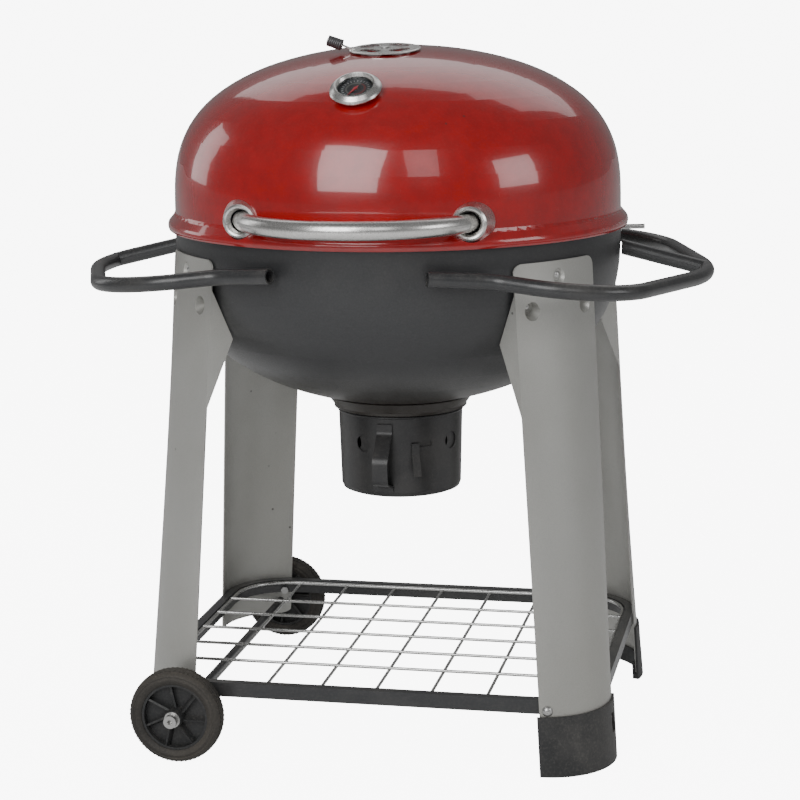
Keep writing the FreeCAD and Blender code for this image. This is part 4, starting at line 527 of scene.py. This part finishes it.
# ------------------------------------------------------------------ mesh helpers
def piece(name, meshes, body, nodes, slot, smooth=38.0):
    """One object from several meshes, riding on a body and standing for CAD nodes."""
    build = bmesh.new()
    for mesh in meshes:
        build.from_mesh(mesh)
        bpy.data.meshes.remove(mesh)
    bmesh.ops.recalc_face_normals(build, faces=build.faces)
    for edge in build.edges:
        edge.smooth = len(edge.link_faces) == 2 and edge.calc_face_angle(0) < math.radians(smooth)
    for face in build.faces:
        face.smooth = True
    mesh = bpy.data.meshes.new(name)
    build.to_mesh(mesh)
    build.free()
    mesh.materials.clear()
    mesh.materials.append(MATERIALS[slot])
    for polygon in mesh.polygons:
        polygon.material_index = 0
    made = bpy.data.objects.new(name, mesh)
    bpy.context.collection.objects.link(made)
    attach(made, body)
    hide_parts(*nodes)
    return made


def spun(points, centre, axis="Z", steps=128, closed=True):
    """Mesh turned from (radius, height) points about an axis through a centre."""
    mesh = bpy.data.meshes.new("spun")
    build = bmesh.new()
    rings = []
    for step in range(steps):
        angle = 2 * math.pi * step / steps
        row = []
        for radius, height in points:
            across, up = radius * math.cos(angle), radius * math.sin(angle)
            spot = (across, up, height) if axis == "Z" else (across, height, up)
            row.append(build.verts.new(Vector(spot) + Vector(centre)))
        rings.append(row)
    count = len(points)
    last = count if closed else count - 1
    for step in range(steps):
        a, b = rings[step], rings[(step + 1) % steps]
        for index in range(last):
            after = (index + 1) % count
            build.faces.new((a[index], b[index], b[after], a[after]))
    bmesh.ops.recalc_face_normals(build, faces=build.faces)
    build.to_mesh(mesh)
    build.free()
    return mesh


def loop_tube(points, radius, sides=12):
    """Closed tube through points that lie level."""
    mesh = bpy.data.meshes.new("loop")
    build = bmesh.new()
    rings = []
    total = len(points)
    for index, point in enumerate(points):
        way = (points[(index + 1) % total] - points[index - 1]).normalized()
        side = way.cross(Vector((0, 0, 1)))
        ring = []
        for step in range(sides):
            angle = 2 * math.pi * step / sides
            ring.append(build.verts.new(point + side * (radius * math.cos(angle))
                                        + Vector((0, 0, radius * math.sin(angle)))))
        rings.append(ring)
    for index in range(total):
        a, b = rings[index], rings[(index + 1) % total]
        for step in range(sides):
            after = (step + 1) % sides
            build.faces.new((a[step], b[step], b[after], a[after]))
    build.to_mesh(mesh)
    build.free()
    return mesh


def moved(mesh, matrix):
    """The same mesh after a turn or a shift."""
    mesh.transform(matrix)
    return mesh


# ------------------------------------------------------------------ the grill's own pieces
def make_shelf_wires():
    """Wire mat: an edge wire round the rail and two layers of straight wires."""
    low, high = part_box("shelf_wires")
    half_x = (high[0] - low[0]) / 2 - EDGE_WIRE_R
    half_y = (high[1] - low[1]) / 2 - EDGE_WIRE_R
    corner = 0.068
    edge_z = RAIL_TOP - 0.0035
    points = []
    for turn, (sx, sy) in enumerate(((1, 1), (-1, 1), (-1, -1), (1, -1))):
        for step in range(9):
            angle = math.pi / 2 * (turn + step / 8)
            points.append(Vector((sx * (half_x - corner) + corner * math.cos(angle),
                                  KETTLE_Y + sy * (half_y - corner) + corner * math.sin(angle),
                                  edge_z)))
    rim = loop_tube(points, EDGE_WIRE_R)
    paint = MATERIALS["bright_wire"]
    cross = grown(BARS, count=7, pitch=0.069, shift=0.010, half_span=half_y, circle_radius=0.0,
                  bar_radius=WIRE_R, height=edge_z - WIRE_R * 0.9, material=paint)
    moved(cross, Matrix.Translation((0, KETTLE_Y, 0)))
    long = grown(BARS, count=5, pitch=0.067, shift=-0.008, half_span=half_x, circle_radius=0.0,
                 bar_radius=WIRE_R, height=edge_z + WIRE_R * 0.9, material=paint)
    swap = Matrix(((0, 1, 0, 0), (1, 0, 0, KETTLE_Y), (0, 0, 1, 0), (0, 0, 0, 1)))
    moved(long, swap)
    piece("shelf_wire_mat", [rim, cross, long], "stand", ["shelf_wires"], "bright_wire")


def make_round_grate(name, body, node, slot, radius, rim, bar, pitch, height, rows):
    """Round grate: rim wire, many bars one way and two heavier bars the other way."""
    ring = radius - rim
    centre = Matrix.Translation((0, KETTLE_Y, 0))
    points = [Vector((ring * math.cos(2 * math.pi * i / 96),
                      KETTLE_Y + ring * math.sin(2 * math.pi * i / 96), height))
              for i in range(96)]
    paint = MATERIALS[slot]
    bars = moved(grown(BARS, count=rows, pitch=pitch, shift=0.0, half_span=0.0,
                       circle_radius=ring, bar_radius=bar, height=height + bar * 0.6,
                       material=paint), centre)
    under = grown(BARS, count=2, pitch=ring * 0.9, shift=0.0, half_span=0.0, circle_radius=ring,
                  bar_radius=rim * 0.9, height=height - rim * 0.5, material=paint)
    moved(under, centre @ Matrix.Rotation(math.pi / 2, 4, "Z"))
    piece(name, [loop_tube(points, rim), bars, under], body, [node], slot)


def make_tyre(side, body, node):
    """Tyre with rounded shoulders, two ridges on the wall and a ribbed tread."""
    low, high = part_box(node)
    width = high[1] - low[1]
    radius = (high[2] - low[2]) / 2
    bore = radius - 0.017
    profile = [(bore, 0.003), (bore + 0.0015, 0.0012), (radius - 0.0125, 0.0004),
               (radius - 0.0118, 0.0), (radius - 0.0105, 0.0), (radius - 0.0098, 0.0006),
               (radius - 0.0075, 0.0010), (radius - 0.0068, 0.0005), (radius - 0.0058, 0.0007),
               (radius - 0.0045, 0.0018), (radius - 0.0026, 0.0038), (radius - 0.0014, 0.0062)]
    tread = []
    for rib in range(4):
        start = 0.0078 + rib * (width - 0.0156) / 4
        step = (width - 0.0156) / 4
        crown = 0.0007 if rib in (0, 3) else 0.0001
        tread += [(radius - 0.0014 - crown, start), (radius - crown, start + step * 0.18),
                  (radius - crown, start + step * 0.78), (radius - 0.0014 - crown, start + step * 0.96)]
    profile += tread + [(r, width - y) for r, y in reversed(profile)]
    centre = (AXLE_X, low[1], WHEEL_Z)
    body_mesh = spun(profile, centre, axis="Y", steps=96)
    blocks = grown(TREAD, count=60, radius=radius - 0.0012, block_width=width - 0.013,
                   block_length=0.0016, block_height=0.0010, material=MATERIALS["tyre"])
    stand = Matrix.Translation((AXLE_X, (low[1] + high[1]) / 2, WHEEL_Z))
    moved(blocks, stand @ Matrix.Rotation(math.pi / 2, 4, "X"))
    piece("tyre_" + side + "_shown", [body_mesh, blocks], body, [node], "tyre")


def make_damper_grip():
    """Wire wound round the end of the damper's lever."""
    low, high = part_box("damper_knob")
    centre = (Vector(low) + Vector(high)) / 2
    way = Vector((-0.985, 0.174, 0.0)) + Vector((0, 0, 0.30))
    way.normalize()
    turn = Vector((0, 0, 1)).rotation_difference(way).to_matrix().to_4x4()
    length = 0.0185
    coil = grown(COIL, turns=7.0, radius=0.0055, length=length, wire_radius=0.0015,
                 material=MATERIALS["knob_coil"])
    moved(coil, Matrix.Translation(centre) @ turn @ Matrix.Translation((0, 0, -length / 2)))
    core = spun([(0.0005, -length / 2), (0.0048, -length / 2), (0.0048, length / 2),
                 (0.0005, length / 2)], (0, 0, 0), steps=32)
    moved(core, Matrix.Translation(centre) @ turn)
    piece("damper_grip_shown", [coil, core], "top_damper", ["damper_knob"], "knob_coil")


make_shelf_wires()
make_round_grate("cooking_grate_shown", "food_grate", "cooking_grate", "bright_wire",
                 0.264, 0.003, 0.002, 0.018, GRATE_Z, 29)
make_round_grate("charcoal_grate_shown", "coal_grate", "charcoal_grate", "coal_bar",
                 0.208, 0.0035, 0.003, 0.026, COAL_Z, 15)
make_tyre("front", "wheel_front", "tyre_front")
make_tyre("back", "wheel_back", "tyre_back")
make_damper_grip()


# ------------------------------------------------------------------ finish on the carried-over nodes
SLOT_OF = {entry["node"]: entry["material_slot"] for entry in frame["record"]["subparts"]}
for node_name, node_object in frame["nodes"].items():
    slot_name = SLOT_OF[node_name]
    node_object.data.materials.clear()
    node_object.data.materials.append(MATERIALS[slot_name])


# ------------------------------------------------------------------ stage, lights and camera
def stage_material():
    """Pale floor that looks bright but throws little light up at the grill."""
    material = bpy.data.materials.new("pale_floor")
    material.use_nodes = True
    s = Sheet(material.node_tree)
    shader = material.node_tree.nodes["Principled BSDF"]
    tone = s.noise(s.add("ShaderNodeTexCoord").outputs["Object"], 3.0, 2.0)
    s.join(s.mix(s.ramp(tone, 0.3, 0.7), (0.90, 0.90, 0.90, 1), (0.92, 0.92, 0.92, 1)),
           shader.inputs["Base Color"])
    shader.inputs["Emission Color"].default_value = (1, 1, 1, 1)
    seen = s.add("ShaderNodeLightPath").outputs["Is Camera Ray"]
    glow = s.math("ADD", s.math("MULTIPLY", seen, 8.0), 0.12)
    s.join(glow, shader.inputs["Emission Strength"])
    shader.inputs["Roughness"].default_value = 0.9
    shader.inputs["Specular IOR Level"].default_value = 0.1
    return material


def make_floor():
    """Level floor just under the feet, wide enough to fill the view."""
    mesh = bpy.data.meshes.new("floor")
    build = bmesh.new()
    corners = [(-120, -120), (120, -120), (120, 120), (-120, 120)]
    build.faces.new([build.verts.new((x, y, -0.0005)) for x, y in corners])
    build.to_mesh(mesh)
    build.free()
    mesh.materials.append(stage_material())
    floor = bpy.data.objects.new("floor", mesh)
    bpy.context.collection.objects.link(floor)


def softbox(name, place, aim, width, height, power):
    """Rectangular lamp at a place, facing a point."""
    data = bpy.data.lights.new(name, "AREA")
    data.shape = "RECTANGLE"
    data.size = width
    data.size_y = height
    data.energy = power
    light = bpy.data.objects.new(name, data)
    light.location = place
    light.rotation_euler = (Vector(aim) - Vector(place)).to_track_quat("-Z", "Y").to_euler()
    bpy.context.collection.objects.link(light)


def make_lights():
    """Lamps in front and at the sides, one behind and above, and a weak even surround."""
    softbox("front_left", (-0.62, -2.75, 2.1), (0, 0, 0.75), 1.7, 2.3, 62)
    softbox("front_right", (1.25, -2.7, 2.3), (0, 0, 0.75), 0.9, 1.7, 8)
    softbox("side_right", (3.05, -0.9, 1.6), (0, 0, 0.8), 1.3, 1.2, 17)
    softbox("side_left", (-3.0, 0.9, 1.5), (0, 0, 0.7), 1.0, 1.6, 9)
    softbox("back_top", (-0.1, 2.4, 3.3), (0, 0, 0.8), 4.6, 2.2, 30)
    world = bpy.data.worlds.new("studio")
    world.use_nodes = True
    world.node_tree.nodes["Background"].inputs["Color"].default_value = (1, 1, 1, 1)
    world.node_tree.nodes["Background"].inputs["Strength"].default_value = 0.18
    bpy.context.scene.world = world


def make_camera():
    """Camera in front, a little right of the grill and above its lid's seam."""
    data = bpy.data.cameras.new("camera")
    data.lens = 99.0
    data.sensor_width = 36.0
    data.clip_end = 400.0
    camera = bpy.data.objects.new("camera", data)
    yaw, pitch, roll = math.radians(11.87), math.radians(11.256), math.radians(-0.762)
    ahead = Vector((-math.sin(yaw) * math.cos(pitch), math.cos(yaw) * math.cos(pitch),
                    -math.sin(pitch)))
    level = Vector((math.cos(yaw), math.sin(yaw), 0))
    upright = level.cross(ahead)
    side = level * math.cos(roll) + upright * math.sin(roll)
    top = upright * math.cos(roll) - level * math.sin(roll)
    turn = Matrix((side, top, -ahead)).transposed().to_4x4()
    camera.matrix_world = Matrix.Translation((0.573, -2.712, 0.963)) @ turn
    bpy.context.collection.objects.link(camera)
    bpy.context.scene.camera = camera


make_floor()
make_lights()
make_camera()

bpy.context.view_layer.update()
